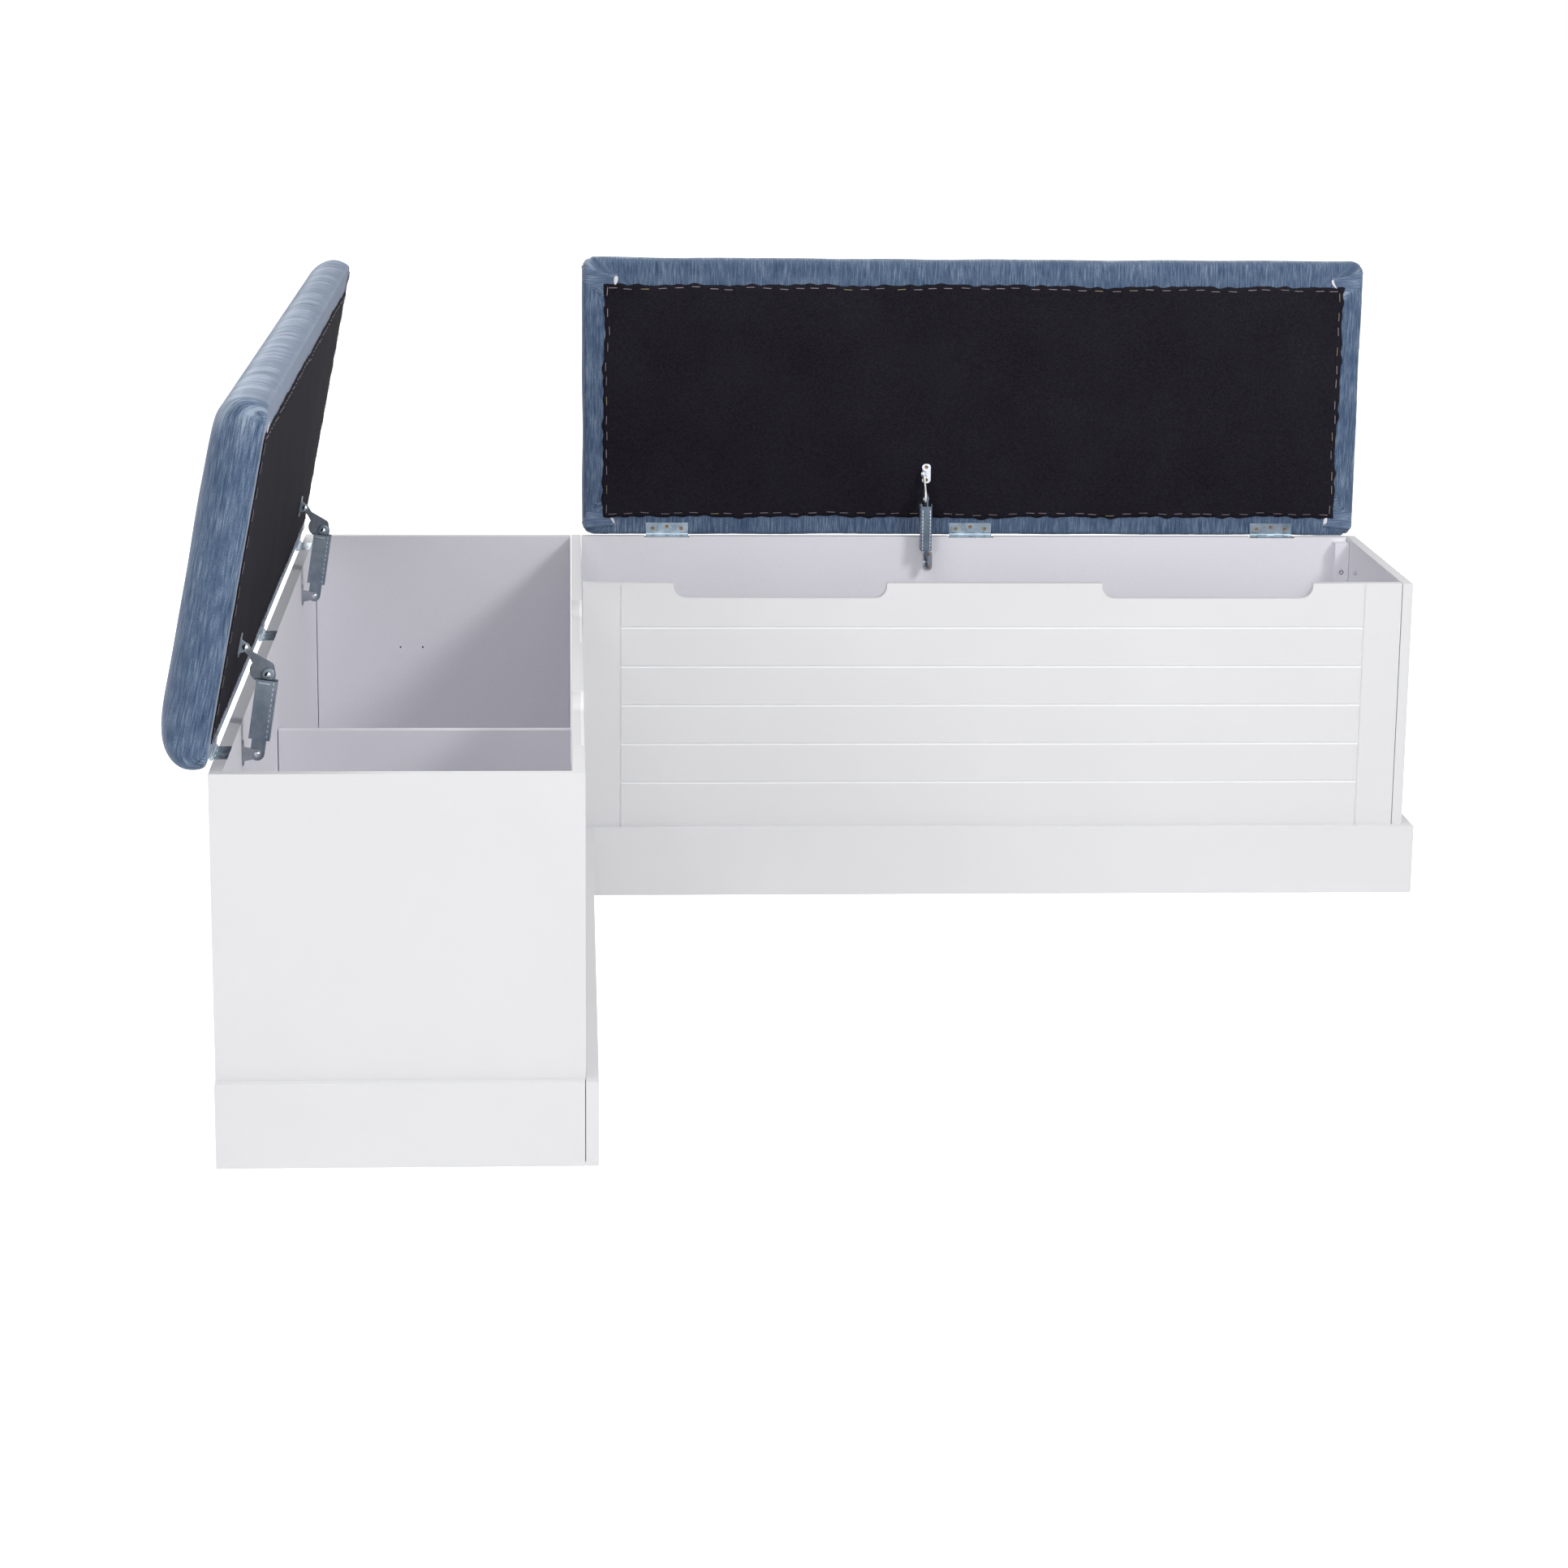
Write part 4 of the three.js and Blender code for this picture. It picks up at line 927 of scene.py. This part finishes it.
def make_marks(name, shape, places, matrix, body, material):
    """One piece with a block at each place of a frame."""
    moved = [matrix @ Matrix.Translation(Vector(place) * MM) for place in places]
    piece(name, *shape, moved, material, body, "zinc_steel", smooth=False)


arm_reach, strut_reach = 42, 97
bracket_middle = 5.7


def stay_place(lid, stay):
    """How far a stay's arm and strut lie along the hinge axis."""
    return along_axis(stay + "_stay_wall_bracket", lid) - bracket_middle


def strut_frame(lid, stay):
    """The frame of an open stay's strut. X runs from the wall pivot to the knee: strut, arm and the
    line between the pivots make a triangle."""
    line = Matrix.Rotation(math.radians(lid_open[lid]), 2) @ Vector(lid_pivot) - Vector(wall_pivot)
    cosine = (strut_reach ** 2 - arm_reach ** 2 + line.length ** 2) / (2 * strut_reach * line.length)
    angle = math.atan2(line.y, line.x) - math.acos(cosine)
    place = Vector((wall_pivot[0], stay_place(lid, stay), wall_pivot[1])) * MM
    return hinge_frames[lid] @ Matrix.Translation(place) @ Matrix.Rotation(-angle, 4, "Y")


# %% Places of the marks, in millimetres
leaf_line, line_x, line_shift, line_face = block(11, 0.9, 0.4), 11, -11.6, 0.3
strip_face, strip_middle, edge_face, lip_face, lip_middle = -7.45, -8.5, -12.5, -6.8, 1.2
strut_marks = {
    "strip_dashes": (block(3.4, 0.5, 1.3),
                     [(along, strip_face, strip_middle) for along in np.arange(24, 89, 6.4)]),
    "edge_dashes": (block(3.6, 0.9, 0.5),
                    [(along, y, edge_face) for along in np.arange(22, 84, 5.2) for y in (-4.4, 7.0)]),
    "lip_bars": (block(1.3, 0.6, 17), [(along, lip_face, lip_middle) for along in (87.2, 90.2)]),
}
for lid, names in hinges.items():
    lines = [along_axis(hinge + "_hinge_box_leaf", lid) + line_shift for hinge in names]
    make_marks(lid + "_lid_leaf_lines", leaf_line, [(line_x, y, line_face) for y in lines],
               lid_frames[lid], lid + "_lid", zinc)
    make_marks(lid + "_box_leaf_lines", leaf_line, [(line_x, y, -line_face) for y in lines],
               hinge_frames[lid], "boxes", zinc)
for lid, name in all_stays:
    for kind, (shape, places) in strut_marks.items():
        make_marks(f"{name}_{kind}", shape, places, strut_frame(lid, name), name + "_strut",
                   painted_highlight_plate)

# %% [markdown]
# ## Rivet heads
# The near head of each rivet is a dome of near-white steel, paler than the plating: a painted glint.
# One sits at the lid bracket, one at the knee on a flat washer, and one at the wall bracket, and each
# rides on the piece that it is fixed to.

# %% Rivets, in millimetres
washer = turned([0, 0.5, 0.94, 1, 1, 0], [0.2, 0.2, 0.2, 0.12, -0.3, -0.3])
lid_rivet_shift, wall_rivet_shift, knee_rivet_shift, washer_shift = -4.4, -1.6, -2.5, -1.6
for lid, name in all_stays:
    y, strut = stay_place(lid, name), strut_frame(lid, name)
    make_stud(name + "_lid_rivet", (lid_pivot[0], y + lid_rivet_shift, lid_pivot[1]),
              lid_frames[lid], lid + "_lid")
    make_stud(name + "_wall_rivet", (wall_pivot[0], y + wall_rivet_shift, wall_pivot[1]),
              hinge_frames[lid], "boxes")
    make_stud(name + "_knee_rivet", (strut_reach, knee_rivet_shift, 0), strut, name + "_arm")
    make_stud(name + "_knee_washer", (strut_reach, washer_shift, 0), strut, name + "_arm",
              size=washer_size, material=stay_steel, shape=washer)

# %% [markdown]
# ## Staples
# Wire staples hold the dust cover. One staple is a flat wire swept over six points: it comes out of
# the cloth, bends, runs along as the crown, bends and goes in again. They follow the wandering edge a
# few millimetres inside it, unevenly spaced and never quite straight.

# %% Staple sizes, in millimetres
staple_span, staple_width, staple_thick = 12.5, 1.0, 0.5
staple_spacing, staple_inset, staple_sink = 25.5, 5.5, 1.9
first_staple, least_margin = 14, 9
spacing_jitter, most_turn, gold_share = 0.16, 0.07, 0.14


# %% Staples
def staple_shape():
    """A rectangular wire along a path in X and Z, with a ring of four points at each path point."""
    half = staple_span / 2
    path = np.array([[-half, -0.5], [-half, 0.15], [-half + 0.5, 0.5], [half - 0.5, 0.5],
                     [half, 0.15], [half, -0.5]])
    lean = np.array([[-1, 0], [-1, 0.4], [-0.4, 1], [0.4, 1], [1, 0.4], [1, 0]], float)
    lean /= np.linalg.norm(lean, axis=1)[:, None]
    rings = []
    for side, out in ((-1, 0), (1, 0), (1, 1), (-1, 1)):
        spot = path + lean * staple_thick * (out - 0.5)
        across = np.full(len(path), side * staple_width / 2)
        rings.append(np.stack([spot[:, 0], across, spot[:, 1]], -1))
    points = np.stack(rings, 1)
    faces = grid_faces(len(path), 4, around=True)
    last = 4 * (len(path) - 1)
    return points, np.concatenate([faces, [[0, 1, 2, 3], [last + 3, last + 2, last + 1, last]]])


def staple_places(name, seed):
    """Where the staples stand in the shut lid's frame, with their turns."""
    random = np.random.default_rng(seed)
    x0, x1, y0, y1 = dust_rectangle(lid_lengths[name])
    lines = {"hinge": (y0, y1, x0, -1), "free": (y0, y1, x1, 1), "near": (x0, x1, y0, -1),
             "far": (x0, x1, y1, 1)}
    found = []
    for side, (start, end, line, outwards) in lines.items():
        count = int((end - start) / staple_spacing)
        order = np.arange(count) + random.uniform(-spacing_jitter, spacing_jitter, count)
        steps = start + first_staple + (end - start - 2 * first_staple) * order / (count - 1)
        for place in np.clip(steps, start + least_margin, end - least_margin):
            across = line + outwards * (float(dust_edge(side, place)) - staple_inset)
            turn = random.uniform(-most_turn, most_turn)
            found.append((across, place, np.pi / 2 + turn) if side in ("hinge", "free")
                         else (place, across, turn))
    return found


def make_staples(name, seed):
    places = staple_places(name, seed)
    random = np.random.default_rng(seed + 1)
    gold = random.uniform(0, 1, len(places)) < gold_share
    for kind, material, chosen in (("gold", staple_gold, gold), ("silver", staple_silver, ~gold)):
        matrices = [
            lid_frames[name] @ Matrix.Translation(Vector((x, y, underside - staple_sink)) * MM)
            @ Matrix.Rotation(turn, 4, "Z") @ Matrix.Rotation(math.pi, 4, "X")
            for (x, y, turn), pick in zip(places, chosen) if pick]
        piece(f"{name}_{kind}_staples", *staple_shape(), matrices, material, name + "_lid", "zinc_steel",
              smooth=False)


make_staples("corner", 71)
make_staples("wall", 73)

# %% [markdown]
# ## Camera
# The camera stands where the photograph was taken from, found by fitting the corners of the boxes:
# in front of the near end, a little left of the middle, looking slightly down with a long lens.

# %% Camera
camera_place = Vector((-0.3859987, -4.965005, 1.417381))
yaw, pitch, roll = 0.05802, 0.23104, 0.01114
lens_millimetres, sensor_millimetres = 86.86, 36
camera = added("camera", bpy.data.cameras.new("camera"))
camera.data.lens, camera.data.sensor_width = lens_millimetres, sensor_millimetres
camera.matrix_world = (
    Matrix.Translation(camera_place) @ Matrix.Rotation(-yaw, 4, "Z")
    @ Matrix.Rotation(math.pi / 2 - pitch, 4, "X") @ Matrix.Rotation(roll, 4, "Z"))
bpy.context.scene.camera = camera

# %% [markdown]
# ## Studio
# A pale floor that shows white to the camera but keeps a soft shadow, an even white surround, and
# large lamps: a strong one from the upper right, as in the photograph, weaker ones from the left,
# from above, in front and low down, and one behind for the backs of the boxes.

# %% Studio
floor_half, floor_drop, floor_grey, floor_glow = 30.0, 0.5 * MM, (0.86, 0.86, 0.86, 1), 0.95
white_light = (1, 1, 1, 1)
surround_light = 0.34


def studio_floor():
    mesh = bpy.data.meshes.new("studio_floor")
    corners = [(x * floor_half, y * floor_half, -floor_drop)
               for x, y in ((-1, -1), (1, -1), (1, 1), (-1, 1))]
    mesh.from_pydata(corners, [], [(0, 1, 2, 3)])
    floor = added("studio_floor", mesh)
    finish = Finish("studio_floor", Base_Color=floor_grey, Roughness=0.9, Specular_IOR_Level=0.0,
                    Emission_Color=white_light)
    finish.set(Emission_Strength=floor_glow * finish.looked_at())
    mesh.materials.append(finish.material)


def surround(strength):
    """A white world: full strength where it is looked at, and less as light on the bench."""
    world = bpy.data.worlds.new("surround")
    bpy.context.scene.world = world
    world.use_nodes = True
    background = world.node_tree.nodes["Background"]
    background.inputs["Color"].default_value = white_light
    shading = Shading(world.node_tree)
    shading.feed(background.inputs["Strength"], strength + (1 - strength) * shading.looked_at())


def lamp(name, place, target, size, watts):
    """A square lamp at a place, turned to its target, all in metres."""
    data = bpy.data.lights.new(name, "AREA")
    data.shape, data.size, data.energy = "SQUARE", size, watts
    made = added(name, data)
    made.location = place
    made.rotation_euler = (Vector(target) - Vector(place)).to_track_quat("-Z", "Y").to_euler()


studio_floor()
surround(surround_light)
lamp("key_lamp", (2.5, -2.0, 3.1), (0, 0.1, 0.35), 0.9, 72)
lamp("left_lamp", (-1.6, -1.0, 3.6), (-0.3, 0.1, 0.3), 1.6, 25)
lamp("top_lamp", (0.3, 0.1, 4.2), (0.1, 0.2, 0.3), 2.6, 19)
lamp("front_lamp", (-2.4, -4.4, 1.6), (-0.5, -0.8, 0.3), 1.8, 51)
lamp("low_lamp", (0.3, -3.4, 0.9), (0.3, 0.4, 0.3), 1.2, 13)
lamp("back_lamp", (-1.6, 4.2, 2.4), (0.0, 0.8, 0.3), 2.0, 34)
bpy.context.scene.view_settings.view_transform = "Standard"
